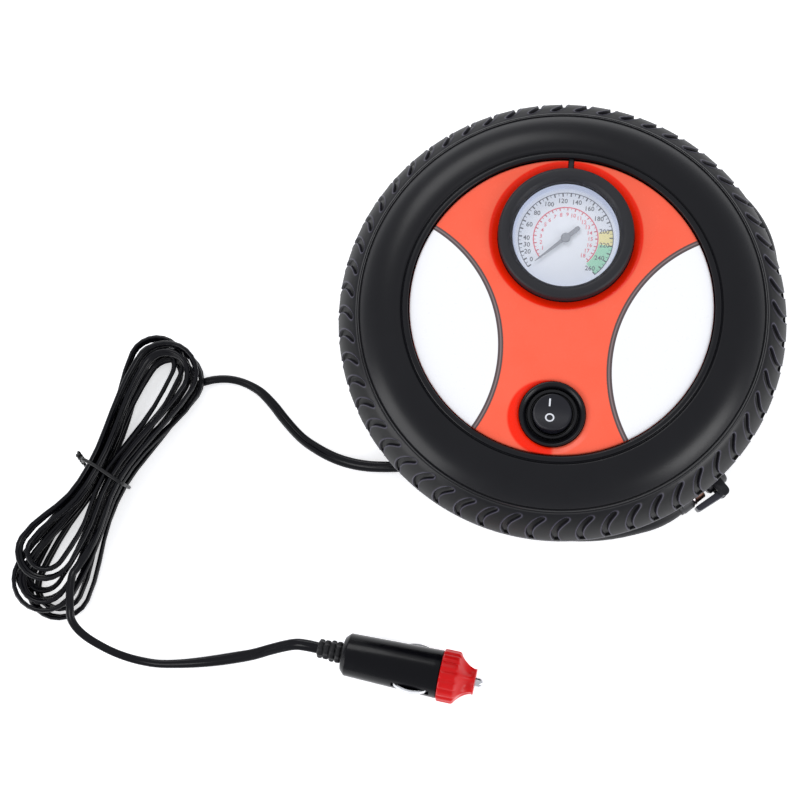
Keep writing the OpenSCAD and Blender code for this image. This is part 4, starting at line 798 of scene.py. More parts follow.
def plate(loops, holds, top, under, spacing=FILL_STEP, inside=0):
    """Points and faces of a closed plate: its net is made of the loops and a fill.

    With inside as 1 the net also ends at the first loop.
    """
    places, edges = [], []
    for ring in loops:
        edges += [(len(places) + i, len(places) + (i + 1) % len(ring))
                  for i in range(len(ring))]
        places += ring
    reach = max(max(abs(x), abs(y)) for x, y in places)
    count = int(reach / spacing) + 1
    fixed = {}
    for x, y in places:
        fixed.setdefault((round(x / spacing), round(y / spacing)), []).append((x, y))
    for j in range(-count, count + 1):
        for i in range(-count, count + 1):
            x, y = (i + 0.5 * (j % 2)) * spacing, j * spacing * ROW_PITCH
            cell = round(x / spacing), round(y / spacing)
            near = [p for a in (-1, 0, 1) for b in (-1, 0, 1)
                    for p in fixed.get((cell[0] + a, cell[1] + b), [])]
            if holds(x, y) and all(math.dist(p, (x, y)) > spacing * NEAR_EDGE for p in near):
                places.append((x, y))
    spots, _, sides, *_ = geometry.delaunay_2d_cdt([Vector(p) for p in places], edges, [],
                                                   inside, 1e-5)
    kept = [side for side in sides if holds(*(sum((spots[i] for i in side), Vector((0, 0)))
                                              / len(side)))]
    walls = {}
    for side in kept:
        for a, b in zip(side, [*side[1:], side[0]]):
            walls[(a, b)] = walls.get((a, b), 0) + 1
    low = len(spots)
    points = [(p.x, p.y, top(p.x, p.y)) for p in spots] + [(p.x, p.y, under) for p in spots]
    faces = list(kept) + [[i + low for i in reversed(side)] for side in kept]
    faces += [[a, a + low, b + low, b] for a, b in walls if (b, a) not in walls]
    used = sorted({i for face in faces for i in face})
    place = {old: new for new, old in enumerate(used)}
    return [points[i] for i in used], [[place[i] for i in face] for face in faces]


print("the fill's points lie", FILL_STEP, "mm apart, and",
      round(FILL_STEP * NEAR_EDGE, 2), "mm from an edge")

# %% Form of the panel
PANEL_R, PANEL_Z, PANEL_CROWN, PANEL_UNDER, RIM_ROUND = 55.8, 52.0, 0.4, 49.0, 0.7
GAUGE_Y, GAUGE_HOLE, GAUGE_EDGE, GAUGE_SLOPE = 26.8, 25.4, 51.0, 0.424
SWITCH_Y, SWITCH_HOLE, SWITCH_EDGE, SWITCH_SLOPE = -40.6, 12.3, 50.8, 0.467
SLOT_HALF, SLOT_LOW, SLOT_HIGH, EDGE_SLACK = 1.1, 50.5, 57, 0.02


def lower(first, second, soft=0.25):
    """The lower of two heights, with a soft fold where they cross."""
    near = max(soft - abs(first - second), 0) / soft
    return min(first, second) - near * near * soft / 4


def panel_top(x, y):
    r = math.hypot(x, y)
    flat = PANEL_R - RIM_ROUND
    crown = PANEL_Z + PANEL_CROWN * max(0, 1 - (r / flat) ** 2)
    over = min(RIM_ROUND, max(0, r - flat))
    crown -= RIM_ROUND - math.sqrt(RIM_ROUND ** 2 - over ** 2)
    gauge = GAUGE_EDGE + (math.hypot(x, y - GAUGE_Y) - GAUGE_HOLE) * GAUGE_SLOPE
    switch = SWITCH_EDGE + (math.hypot(x, y - SWITCH_Y) - SWITCH_HOLE) * SWITCH_SLOPE
    return lower(lower(crown, gauge), switch)


def on_panel(x, y):
    return (math.hypot(x, y) < PANEL_R
            and math.hypot(x, y - GAUGE_Y) > GAUGE_HOLE - EDGE_SLACK
            and math.hypot(x, y - SWITCH_Y) > SWITCH_HOLE - EDGE_SLACK
            and not (abs(x) < SLOT_HALF and y > SLOT_LOW))


print("panel:", round(panel_top(0, 0), 2), "mm high in its middle")

# %% Panel
rims = [loop(0, 0, r, 216) for r in (PANEL_R, 55.76, 55.65, 55.45, 55.1, 54.5)]
cones = ([loop(0, GAUGE_Y, r, 120) for r in (GAUGE_HOLE, 26, 27.2, 27.9, 28.5, 29.2)]
         + [loop(0, SWITCH_Y, r, 72) for r in (SWITCH_HOLE, 12.9, 14.2, 15, 15.5, 16.2)])
slot = [(-SLOT_HALF, SLOT_LOW), (SLOT_HALF, SLOT_LOW),
        (SLOT_HALF, SLOT_HIGH), (-SLOT_HALF, SLOT_HIGH)]
orange = moulded("orange_panel", srgb(255, 66, 28), 0.26, grain=0.4, lift=0.003, drift=0.05,
                 Specular_IOR_Level=0.22)
# The inner cone round the gauge and the left side of the cone round the switch are painted a
# deeper red: painted shade where the glossy face reflects little light.
gauge_cone_shade = orange.ring(0, GAUGE_Y).step(28.9, 28.2)
across, *_ = orange.split(orange.place)
switch_cone_shade = orange.ring(-2.3, SWITCH_Y - 1.5).step(14.5, 13.4) * (across * 1000).step(2, 0)
lit = orange.mix(orange.noise(14, 2), srgb(255, 98, 69), srgb(255, 108, 82))
orange.set("Base Color", orange.mix(gauge_cone_shade.maths("MAXIMUM", switch_cone_shade), lit,
                                    srgb(255, 38, 4)))
panel = solid("face_panel", *plate([*rims, *cones, slot], on_panel, panel_top, PANEL_UNDER))
dress(panel, orange, "case", ["front_panel"], "orange", 30)
print("panel:", len(panel.data.polygons), "faces")

# %% Side labels
LABEL_X, LABEL_Y, LABEL_R, LABEL_SHIFT = 73.3, -20.6, 54.3, -0.6
BORDER_R, BORDER_BLUR, LABEL_T, LABEL_UNDER = 52.4, 0.06, 0.07, 51.0
LABEL_RIM, PAPER_WHITE = 55.6, srgb(250, 250, 252)
print_white = moulded("label_print", PAPER_WHITE, 0.3, grain=0.5, lift=0.002, drift=0.02)
across, along, _ = print_white.split(print_white.place)
a, b = (across * 1000 - LABEL_SHIFT).maths("ABSOLUTE") - LABEL_X, along * 1000 - LABEL_Y
out = (a * a + b * b) ** 0.5
border = out.step(BORDER_R - BORDER_BLUR, BORDER_R + BORDER_BLUR)
thread = out.step(53.1, 53.3) * out.step(53.8, 53.6)
border_print = print_white.mix(thread, srgb(84, 70, 70), srgb(132, 114, 114))
print_white.set("Base Color", print_white.mix(border, PAPER_WHITE, border_print))


def side_label(middle):
    """Points and faces of the print between the panel's rim and a circle beside it."""
    bounds = [loop(0, 0, r, 216) for r in (55.62, 55.45, 55.1, 54.5)]
    bounds += [loop(middle, LABEL_Y, r, 200) for r in (LABEL_R, 53.6, 52.6)]
    return plate(bounds, lambda x, y: math.hypot(x, y) < LABEL_RIM
                 and math.hypot(x - middle, y - LABEL_Y) < LABEL_R,
                 lambda x, y: panel_top(x, y) + LABEL_T, LABEL_UNDER)


label = solid("side_prints", *join(*[side_label(side * LABEL_X + LABEL_SHIFT)
                                     for side in (-1, 1)]))
dress(label, print_white, "case", ["side_labels"], "label", 30)
print("labels:", len(label.data.polygons), "faces")

# %% [markdown]
# ## Deck, bezel and collar
# The tyre's moulding also carries a deck under the panel, four screw columns, the wide
# bezel round the gauge and the collar round the switch. Each is turned, so a lathe makes
# it, and the deck is another plate with two holes.

# %% Deck and screw columns
DECK_R, DECK_UNDER, DECK_PITCH, CUP_R, BODY_R = 55.02, 46.5, 5.0, 21.5, 8.6
COLUMN_AT, COLUMN_TURNS = 60.9, (45, 119.5, 247.8, 305)


def on_deck(x, y):
    return (math.hypot(x, y) < DECK_R and math.hypot(x, y - GAUGE_Y) > CUP_R
            and math.hypot(x, y - SWITCH_Y) > BODY_R)


deck = plate([loop(0, 0, DECK_R, 180), loop(0, GAUGE_Y, CUP_R, 96), loop(0, SWITCH_Y, BODY_R, 64)],
             on_deck, lambda x, y: PANEL_UNDER, DECK_UNDER, DECK_PITCH)
column, sides = lathe([(1.5, 21.7), (3.9, 21.7), (4.4, 22.2), (4.4, 50.6), (1.5, 50.6)], 32)
columns = [(moved(column, *around(0, 0, COLUMN_AT, t)), sides) for t in COLUMN_TURNS]
core = solid("case_core", *join(deck, *columns))
dress(core, black_case, "case", ["tyre_shell"], "black_case")
print("deck and columns:", len(core.data.polygons), "faces")

# %% Bezel and collar
bezel_points, sides = lathe([
    (CUP_R, 48.9), (25.1, 48.9), (25.1, 54.5), *arc(23.5, 54.4, 1.6, 5, 90, 8), (22.2, 56),
    (CUP_R, 55.95), (21.15, 55.75), (20.35, 54.5), (20.1, 54.2), (20, 53.9), (20, 52),
    (CUP_R, 52)], 160)
bridge = ([(x, y, z) for z in (49, 51.9) for x, y in
           ((-0.8, 50.9), (0.8, 50.9), (0.8, 56.6), (-0.8, 56.6))],
          [[3, 2, 1, 0], [4, 5, 6, 7], [0, 1, 5, 4], [1, 2, 6, 5], [2, 3, 7, 6], [3, 0, 4, 7]])
matt_black = moulded("matt_black", srgb(34, 34, 38), 0.5, grain=0.35, lift=0.008,
                     Specular_IOR_Level=0.3)
bezel = solid("gauge_bezel", *join((moved(bezel_points, 0, GAUGE_Y), sides), bridge))
dress(bezel, matt_black, "case", ["tyre_shell"], "black_case")

collar = turned_piece("switch_collar", [
    (9.6, 48.9), (12, 48.9), (12, 51.65), (11.9, 51.9), (11.65, 52.05), (11.3, 52.08),
    (11.05, 51.95), (9.75, 50.3), (9.6, 50.05)], 128, SWITCH_Y,
    black_case, "case", ["tyre_shell"], "black_case")
print("bezel and collar:", len(bezel.data.polygons) + len(collar.data.polygons), "faces")

# %% [markdown]
# ## The gauge's dial
# The dial is a white cup with two printed scales: grey numbers outside, a red ring with
# its own numbers inside, and a yellow and a green field where the pressure is high. A
# picture could carry the print, but a real edge stays sharp at any distance. So the fields
# and rings are thin bands, the numbers are text turned into mesh, and the ticks, which
# repeat by a rule, are one Geometry Nodes tree with its count and sizes as inputs.

# %% Dial cup and bands
DIAL_Z, PRINT_T = 47.5, 0.05
PRINT_LOW, FIELD_HIGH, RING_HIGH = DIAL_Z - 0.02, DIAL_Z + PRINT_T, DIAL_Z + PRINT_T + 0.01
ZERO_AT, FULL_AT, FULL = 222.0, -48.0, 260
SCALE_R, RED_R = 17.6, 12.0


def gauge_angle(value):
    return ZERO_AT + (FULL_AT - ZERO_AT) * value / FULL


def band(inner, outer, first, last, high, steps=96):
    """A flat band on the dial between two angles, closed all round."""
    points, faces = [], []
    for i in range(steps + 1):
        turn = first + (last - first) * i / steps
        near, far = around(0, 0, inner, turn), around(0, 0, outer, turn)
        points += [(*near, PRINT_LOW), (*far, PRINT_LOW), (*far, high), (*near, high)]
    for i in range(steps):
        faces += [[4 * i + k, 4 * i + (k + 1) % 4, 4 * i + 4 + (k + 1) % 4, 4 * i + 4 + k]
                  for k in range(4)]
    return points, faces + [[3, 2, 1, 0], [4 * steps + k for k in range(4)]]


def on_dial(name, parts, finish):
    """One printed piece on the dial, from parts drawn about the gauge's centre."""
    points, faces = join(*parts)
    return dress(solid(name, moved(points, 0, GAUGE_Y), faces), finish, "case",
                 ["dial_plate"], "dial", 30)


DIAL_WHITE, DIAL_SHADE = srgb(243, 246, 252), srgb(206, 216, 240)
dial_white = moulded("dial_white", DIAL_WHITE, 0.4, grain=0.3, lift=0.001, drift=0.01)
# Towards its rim the dial is painted a pale blue: painted shade cast by the cup's wall.
edge = dial_white.ring(0, GAUGE_Y).step(18.3, 19.6)
dial_white.set("Base Color", dial_white.mix(edge, DIAL_WHITE, DIAL_SHADE))
cup = lathe([(0, 47), (19.75, 47), (19.75, 51.9), (19.6, 51.9), (19.45, 48.3), (19.2, 47.75),
             (18.8, DIAL_Z), (0, DIAL_Z)], 128)
on_dial("dial_cup", [cup], dial_white)
print("dial:", ZERO_AT - FULL_AT, "degrees from 0 to", FULL)

# %% Printed fields and rings
dial_ink, dial_red, dial_yellow, dial_green = [
    moulded("dial_" + name, srgb(*colour), 0.5, grain=0.3, lift=0.001, drift=drift)
    for name, colour, drift in (("ink", (74, 76, 88), 0.05), ("red", (236, 92, 112), 0.05),
                                ("yellow", (252, 238, 160), 0.03),
                                ("green", (160, 228, 190), 0.03))]
on_dial("dial_field_yellow", [band(RED_R + 0.35, SCALE_R - 0.1, gauge_angle(200),
                                   gauge_angle(220), FIELD_HIGH, 24)], dial_yellow)
on_dial("dial_field_green", [band(RED_R + 0.35, SCALE_R - 0.1, gauge_angle(220),
                                  gauge_angle(FULL), FIELD_HIGH, 36)], dial_green)
on_dial("dial_ring_grey", [band(SCALE_R - 0.12, SCALE_R + 0.16, ZERO_AT, FULL_AT,
                                RING_HIGH)], dial_ink)
on_dial("dial_ring_red", [band(RED_R - 0.2, RED_R + 0.22, ZERO_AT, FULL_AT + 3,
                               RING_HIGH)], dial_red)
print("fields from 200 on:", [round(gauge_angle(v), 1) for v in (200, 220, FULL)], "degrees")

# %% Numbers
PRINT_LIFT = 0.02


def lettering(text, size, x, y, weight):
    """Points in millimetres and faces of a line of text centred on (x, y)."""
    data = bpy.data.curves.new("lettering", "FONT")
    data.body, data.size, data.align_x, data.align_y = text, size, "CENTER", "CENTER"
    data.resolution_u, data.extrude, data.offset = 2, PRINT_T / 2, weight
    flat = settle(linked("lettering", data), "lettering")
    middle = sum((Vector(c) for c in flat.bound_box), Vector()) / 8
    points = []
    for vertex in flat.data.vertices:
        at = vertex.co - Vector((middle.x, middle.y, 0))
        points.append((at.x + x, at.y + y, at.z + DIAL_Z + PRINT_T / 2 + PRINT_LIFT))
    faces = [list(p.vertices) for p in flat.data.polygons]
    mesh = flat.data
    bpy.data.objects.remove(flat)
    bpy.data.meshes.remove(mesh)
    return points, faces


def outer_number(value):
    """A number of the grey scale; the lowest ones stand a little aside of their ticks."""
    aside = -6 if value == 0 else 2 if value < 90 else 0
    place = around(0, 0, 14.6 if value > 20 else 15.0, gauge_angle(value) + aside)
    return lettering(str(value), 2.5, *place, 0.03)


outer_numbers = [0, 20, 30, 40, *range(60, FULL + 1, 20)]
on_dial("dial_numbers_grey", [outer_number(v) for v in outer_numbers], dial_ink)
on_dial("dial_numbers_red", [lettering(str(v), 2.1, *around(0, 0, 9.3, 90 - (v - 9) * 14.6), 0.02)
                             for v in range(1, 19)], dial_red)
print("numbers:", len(outer_numbers), "grey and 18 red")

# %% Ticks
def tick_graph(finish):
    graph, given = geometry_graph("dial_ticks", {
        "Ticks": ("Int", 27), "Radius": ("Float", SCALE_R), "Length": ("Float", 1.2),
        "Width": ("Float", 0.4), "First": ("Float", ZERO_AT), "Sweep": ("Float", -270.0),
        "Thickness": ("Float", PRINT_T), "Level": ("Float", DIAL_Z), "Centre": ("Float", GAUGE_Y)})
    index = graph.node("GeometryNodeInputIndex")
    turn = (given["First"] + given["Sweep"] * index / (given["Ticks"] - 1)) * (math.pi / 180)
    reach = given["Radius"] - given["Length"] * 0.5
    spot = graph.vector(turn.maths("COSINE") * reach * MM,
                        (turn.maths("SINE") * reach + given["Centre"]) * MM,
                        (given["Level"] + given["Thickness"] * 0.5) * MM)
    spots = graph.node("GeometryNodePoints", {}, {"Count": given["Ticks"], "Position": spot})
    bar = graph.node("GeometryNodeMeshCube", {}, {
        "Size": graph.vector(given["Length"] * MM, given["Width"] * MM,
                             given["Thickness"] * MM)})
    facing = graph.node("FunctionNodeEulerToRotation", {}, [graph.vector(0.0, 0.0, turn)])
    ticks = graph.node("GeometryNodeInstanceOnPoints", {},
                       {"Points": spots, "Instance": bar, "Rotation": facing})
    close_graph(graph, ticks, finish)
    return graph


def ticks(name, finish, graph, **sizes):
    piece = grown(linked(name, bpy.data.meshes.new(name)), name, graph, **sizes)
    return dress(piece, finish, "case", ["dial_plate"], "dial", 30)


grey_ticks, red_ticks = tick_graph(dial_ink), tick_graph(dial_red)
red_row = {"Radius": RED_R, "First": ZERO_AT - 0.6, "Sweep": -262.8}
marks = [ticks("dial_ticks_ten", dial_ink, grey_ticks, Ticks=27, Length=1.35, Width=0.5),
         ticks("dial_ticks_five", dial_ink, grey_ticks, Ticks=53, Length=0.95, Width=0.2),
         ticks("dial_ticks_red", dial_red, red_ticks, Ticks=19, Length=1.15, Width=0.4,
               **red_row),
         ticks("dial_ticks_red_half", dial_red, red_ticks, Ticks=37, Length=0.8, Width=0.2,
               **red_row)]
print("ticks:", sum(len(m.data.polygons) for m in marks) // 6)

# %% [markdown]
# ## Needle and lens
# The needle is a stamped strip with a wide tail and a small step near its point, pressed
# on a turned hub. It rides on its own body, so it swings with the gauge. The lens is a
# slightly domed disc of clear plastic: little more than a gleam, so its shader is almost
# clear and keeps a polished surface.

# %% Needle
def prism(outline, low, high):
    """A closed prism over an outline that runs anticlockwise."""
    count = len(outline)
    points = [(x, y, z) for z in (low, high) for x, y in outline]
    faces = [list(range(count))[::-1], [i + count for i in range(count)]]
    return points, faces + [[i, (i + 1) % count, (i + 1) % count + count, i + count]
                            for i in range(count)]


def turned_about_z(points, degrees):
    c, s = math.cos(math.radians(degrees)), math.sin(math.radians(degrees))
    return [(x * c - y * s, x * s + y * c, z) for x, y, z in points]


upper = [(14.5, 0.08), (12.7, 0.2), (12.2, 0.46), (11.5, 0.3), (1.0, 0.72), (-1.2, 0.78),
         (-5.8, 0.86), (-6.3, 0.7), (-6.5, 0.3)]
strip = prism([(x, -y) for x, y in upper[::-1]] + upper, 48.35, 48.75)
hub = lathe([(0.82, 48.3), (1.7, 48.3), (1.8, 48.45), (1.8, 49.0), (1.65, 49.2), (0.9, 49.3),
             (0, 49.33), (0, 48.95), (0.82, 48.95)], 40)
needle_grey = moulded("needle_grey", srgb(126, 129, 138), 0.38, grain=0.4, lift=0.002)
points, faces = join((turned_about_z(strip[0], ZERO_AT), strip[1]), hub)
needle = solid("needle", moved(points, 0, GAUGE_Y), faces)
dress(needle, needle_grey, "needle", ["gauge_needle"], "needle_grey", 30)
print("needle:", len(needle.data.polygons), "faces")

# %% Lens
LENS_R, LENS_EDGE, LENS_DOME = 19.9, 52, 0.75
lens_clear = Finish("lens_clear", srgb(245, 248, 252), 0.05, Alpha=0.1, IOR=1.49)
lens_clear.set("Roughness", 0.03 + lens_clear.noise(12, 2) * 0.04)
dome = [(r, LENS_EDGE + LENS_DOME * (1 - (r / LENS_R) ** 2))
        for r in (LENS_R, 18, 15, 12, 9, 6, 3, 0)]
lens = turned_piece("lens", [(0, 51.3), (LENS_R, 51.3), *dome], 96, GAUGE_Y,
                    lens_clear, "case", ["gauge_lens"], "lens", 30)
print("lens:", len(lens.data.polygons), "faces")

# %% [markdown]
# ## The switch
# A round rocker switch snaps into the collar: a turned body with a thin rounded flange,
# and a rocker whose face is hollow from front to back and carries the two usual marks.
# The rocker is a plate with a height formula, drawn level and then tilted as it rests,
# on its own body, and its marks ride with it.

# %% Switch body
switch_black = moulded("switch_black", srgb(12, 12, 15), 0.26, grain=0.3, lift=0.004,
                       Specular_IOR_Level=0.3)
switch = turned_piece("switch_housing", [
    (0, 29.5), (8.3, 29.5), (8.3, 49), (9.3, 49), (9.3, 50.85), (9.2, 51.15), (8.98, 51.35),
    (8.7, 51.4), (8.35, 51.4), (8.1, 51.28), (7.95, 51.0), (7.95, 49.6), (7.6, 49.6),
    (7.6, 43.6), (0, 43.6)], 96, SWITCH_Y, switch_black, "case", ["switch_body"], "black_case", 30)
print("switch:", len(switch.data.polygons), "faces")

# %% Rocker and its marks
ROCKER_R, ROCKER_Z, ROCKER_ROUND, ROCKER_UNDER = 7.2, 49.6, 0.55, -0.8
ROCKER_TILT = math.radians(12)
DISH_LOW, DISH_RISE, DISH_HALF = 1.8, 1.25, 6.8
MARK_LIFT, MARK_UNDER = 0.05, 0.4
BAR_X, BAR_HALF, BAR_FROM, BAR_TO = -1.15, 0.3, 2.5, 5.3
RING_X, RING_Y, RING_OUT, RING_IN = -0.8, -1.9, 1.7, 1.15


def rocker_face(x, y):
    """Height of the hollow face, rounded at its edge."""
    over = min(max(0, math.hypot(x, y) - ROCKER_R + ROCKER_ROUND), ROCKER_ROUND)
    return (DISH_LOW + DISH_RISE * (y / DISH_HALF) ** 2 - ROCKER_ROUND
            + math.sqrt(max(0, ROCKER_ROUND ** 2 - over ** 2)))


def tilted(points):
    c, s = math.cos(ROCKER_TILT), math.sin(ROCKER_TILT)
    return [(x, SWITCH_Y + y * c + z * s, ROCKER_Z - y * s + z * c) for x, y, z in points]


def rocker_piece(name, loops, holds, lift, under, spacing, finish, slot):
    points, faces = plate(loops, holds, lambda x, y: rocker_face(x, y) + lift, under, spacing)
    dress(solid(name, tilted(points), faces), finish, "rocker", ["switch_rocker"], slot, 40)
    print(name + ":", len(faces), "faces")


rocker_black = moulded("rocker_black", srgb(22, 22, 29), 0.36, grain=0.3, lift=0.004,
                       Specular_IOR_Level=0.3)
rocker_piece("rocker", [loop(0, 0, r, 72) for r in (ROCKER_R, 7.17, 7.05, 6.9, 6.65, 6.2)],
             lambda x, y: math.hypot(x, y) < ROCKER_R, 0, ROCKER_UNDER, 0.9,
             rocker_black, "rocker_black")
mark_white = moulded("mark_white", srgb(226, 228, 233), 0.4, grain=0.4, lift=0.002, drift=0.02)
bar_corners = [(BAR_X - BAR_HALF, BAR_FROM), (BAR_X + BAR_HALF, BAR_FROM),
               (BAR_X + BAR_HALF, BAR_TO), (BAR_X - BAR_HALF, BAR_TO)]
rocker_piece("rocker_mark_on", [bar_corners],
             lambda x, y: abs(x - BAR_X) < BAR_HALF and BAR_FROM < y < BAR_TO,
             MARK_LIFT, MARK_UNDER, 0.4, mark_white, "label")
rocker_piece("rocker_mark_off", [loop(RING_X, RING_Y, r, 40) for r in (RING_OUT, RING_IN)],
             lambda x, y: RING_IN < math.hypot(x - RING_X, y - RING_Y) < RING_OUT,
             MARK_LIFT, MARK_UNDER, 0.4, mark_white, "label")

# %% [markdown]
# ## The air hose
# The hose leaves the pump inside the hub, comes out through its wall, lies in the channel
# round the back for three quarters of a turn and ends in the chuck. Its route is a chain of
# level bends and straights, the same one that the solids follow, and the cable's sweep
# serves again, with a round section.

# %% Route of the hose
HOSE_R, HOSE_Z, HOSE_FROM = 4.0, 11.5, (35.0155, -10.8)
HOSE_BEND, WRAP_R, WRAP_TO, LEAD_IN = 38.0, 77.0, 349, 6.0
BEND_SPAN, STRAIGHT_SPAN = 3, 5
centre = (HOSE_FROM[0] + LEAD_IN, HOSE_FROM[1] + HOSE_BEND)
hose_turn = (math.degrees(math.atan2(centre[1], centre[0])) + 180
             - math.degrees(math.asin((WRAP_R - HOSE_BEND) / math.hypot(*centre))))
hose_away = -(centre[0] * math.cos(math.radians(hose_turn))
              + centre[1] * math.sin(math.radians(hose_turn)))
hose_steps = [(0, LEAD_IN), (HOSE_BEND, hose_turn), (0, hose_away),
              (WRAP_R, WRAP_TO - hose_turn), (0, 8), (WRAP_R, 30), (0, 4.55), (33, 24),
              (0, 5.15)]


def chain(steps, x, y, z):
    """Points along level bends (radius, angle) and straights (0, length), and the last heading."""
    turn, line = 0.0, [(x, y, z)]
    for radius, amount in steps:
        parts = max(1, round(amount / (BEND_SPAN if radius else STRAIGHT_SPAN)))
        for _ in range(parts):
            if radius:
                t = turn + math.radians(amount / parts)
                x += radius * (math.sin(t) - math.sin(turn))
                y += radius * (math.cos(turn) - math.cos(t))
                turn = t
            else:
                x += amount / parts * math.cos(turn)
                y += amount / parts * math.sin(turn)
            line.append((x, y, z))
    return line, turn


hose_line, chuck_turn = chain(hose_steps, *HOSE_FROM, HOSE_Z)
chuck_at = hose_line[-1]
hose_rubber = moulded("hose_rubber", srgb(20, 20, 23), 0.42, grain=0.5, lift=0.01,
                      Specular_IOR_Level=0.25)
hose_sweep = sweep_graph("hose_sweep", hose_rubber, 28)
air_hose = swept("air_hose_wound", hose_line, hose_sweep, Half_Width=HOSE_R, Waist=HOSE_R)
dress(air_hose, hose_rubber, "case", ["air_hose"], "hose_rubber", 60)

# %% [markdown]
# ## The chuck's nozzle
# The nozzle's solid has the right form already and only lacks the small radius that a mould
# leaves on every edge. It could be drawn again, but a copy does as well: it is merged, its
# flat faces are joined, and a Bevel modifier rounds what is left of the edges, so that they
# catch the light.

# %% Softened nozzle
def bevelled(piece, name, width, angle):
    """The piece with its sharp edges rounded, as a plain mesh."""
    bevel = piece.modifiers.new("edges", "BEVEL")
    bevel.width, bevel.segments = width * MM, 2
    bevel.limit_method, bevel.angle_limit = "ANGLE", math.radians(angle)
    return settle(piece, name)


dark_plastic = moulded("dark_plastic", srgb(30, 30, 34), 0.38, grain=0.3, lift=0.005,
                       Specular_IOR_Level=0.35)
soft_black = moulded("soft_black", srgb(18, 18, 20), 0.5, grain=0.4, lift=0.01,
                     Specular_IOR_Level=0.3)
nozzle_mesh = nodes["chuck_body"].data.copy()
work = bmesh.new()
work.from_mesh(nozzle_mesh)
bmesh.ops.remove_doubles(work, verts=work.verts, dist=3e-6)
bmesh.ops.dissolve_limit(work, angle_limit=math.radians(1.5), verts=work.verts,
                         edges=work.edges, delimit={"NORMAL"})
work.to_mesh(nozzle_mesh)
work.free()
nozzle = bevelled(linked("chuck_nozzle", nozzle_mesh), "chuck_nozzle", 0.25, 38)
dress(nozzle, dark_plastic, "case", ["chuck_body"], "dark_plastic", 40)
print("nozzle:", len(nozzle.data.polygons), "faces")

# %% [markdown]
# The stem is turned brass, darkened by handling, with a bright ring beside the ferrule. The
# thumb lever is a slim bar with rounded ends that lies close along it. A scaled cube would
# show its corners, so the plate helper fills a flat outline, gives it its width across the
# hose, and a bevel rounds it.

# %% Stem and ring
STEM_FROM = -8.0


def along_chuck(points, start=0.0):
    """Upright points, laid along the chuck's axis from a distance past the hose's end."""
    c, s = math.cos(chuck_turn), math.sin(chuck_turn)
    return [(chuck_at[0] + (z + start) * c - y * s, chuck_at[1] + (z + start) * s + y * c,
             chuck_at[2] - x) for x, y, z in points]


worn_brass = turned("worn_brass", srgb(128, 96, 84), 0.36)
nickel = turned("nickel", srgb(232, 220, 222), 0.2)
stem_points, sides = lathe([(1.2, 0), (2.4, 0), (2.4, 10.3), (4.1, 10.4), (4.25, 10.6),
                            (4.25, 14.2), (4.1, 14.4), (2.5, 14.5), (2.4, 14.6), (2.4, 16),
                            (1.2, 16)], 64)
stem = solid("chuck_tube", along_chuck(stem_points, STEM_FROM), sides)
dress(stem, worn_brass, "case", ["chuck_stem"], "brass", 40)
ring_points, sides = lathe([(2.41, 9.3), (4.3, 9.3), (4.5, 9.45), (4.5, 10.1), (4.35, 10.3),
                            (2.41, 10.35)], 64)
ring = solid("chuck_ring", along_chuck(ring_points, STEM_FROM), sides)
dress(ring, nickel, "case", ["chuck_stem"], "brass", 40)
print("stem and ring:", len(stem.data.polygons) + len(ring.data.polygons), "faces")

# %% Thumb lever
PIVOT_X, PIVOT_Y = 12.5, -6.85
LEVER_HALF, LEVER_HEAD, LEVER_HOLE, LEVER_TIP, LEVER_L = 3.5, 1.75, 1.15, 0.35, 13


def lever_outline():
    """The bar from above, about its pin: a round end, and a slim tail along the stem."""
    head = [around(0, 0, LEVER_HEAD, t) for t in range(-104, 93, 14)]
    tail = [around(-11.75, 1.3, LEVER_TIP, t) for t in (90, 120, 150, 180)]
    return [*head, (-1.4, 1.45), (-3.2, 1.2), *tail,
            (-12.1, 0.1), (-11.8, -0.35), (-11.2, -0.62)]


def pinned(points):
    """Points drawn about the lever's pin, put where the pin is."""
    c, s = math.cos(chuck_turn), math.sin(chuck_turn)
    return [(chuck_at[0] + (x + PIVOT_X) * c - (y + PIVOT_Y) * s,
             chuck_at[1] + (x + PIVOT_X) * s + (y + PIVOT_Y) * c, chuck_at[2] + z)
            for x, y, z in points]


bar_points, sides = plate([lever_outline(), loop(0, 0, LEVER_HOLE, 24)],
                          lambda x, y: LEVER_HOLE - 0.01 < math.hypot(x, y) < LEVER_L,
                          lambda x, y: LEVER_HALF, -LEVER_HALF, spacing=50, inside=1)
lever = bevelled(solid("lever_bar", pinned(bar_points), sides), "chuck_thumb_lever", 0.35, 50)
lever_grey = moulded("lever_grey", srgb(52, 52, 60), 0.4, grain=0.3, lift=0.005,
                     Specular_IOR_Level=0.35)
dress(lever, lever_grey, "lever", ["chuck_lever"], "dark_plastic", 40)
print("thumb lever:", len(lever.data.polygons), "faces")

# %% [markdown]
# ## The plug
# The plug lies on the floor, its axis a little below the horizontal of the view. Its
# barrel, cap and strain relief are all turned, so they are drawn upright and then laid
# along the plug's axis. The cap's shallow flutes and the ridges of its taper are added by
# moving the lathe's points in and out with the angle. The relief's ribs repeat along the
# cord, each a little wider than the last, so Geometry Nodes place them.

# %% Core of the strain relief
PLUG_AT, PLUG_TURN, PLUG_ROLL = (-82.8, -131.3, 10.0), math.radians(-6.9), math.radians(-30)
BARREL_FROM, BARREL_END = 10.0, 48.0


def laid(points, along=0.0, at=PLUG_AT, turn=PLUG_TURN, roll=0.0):
    """Upright points, laid so that up runs along a level direction from a point."""
    c, s = math.cos(turn), math.sin(turn)
    rolled = [(z + along, y * math.cos(roll) + x * math.sin(roll),
               y * math.sin(roll) - x * math.cos(roll)) for x, y, z in points]
    return [(at[0] + a * c - b * s, at[1] + a * s + b * c, at[2] + up) for a, b, up in rolled]


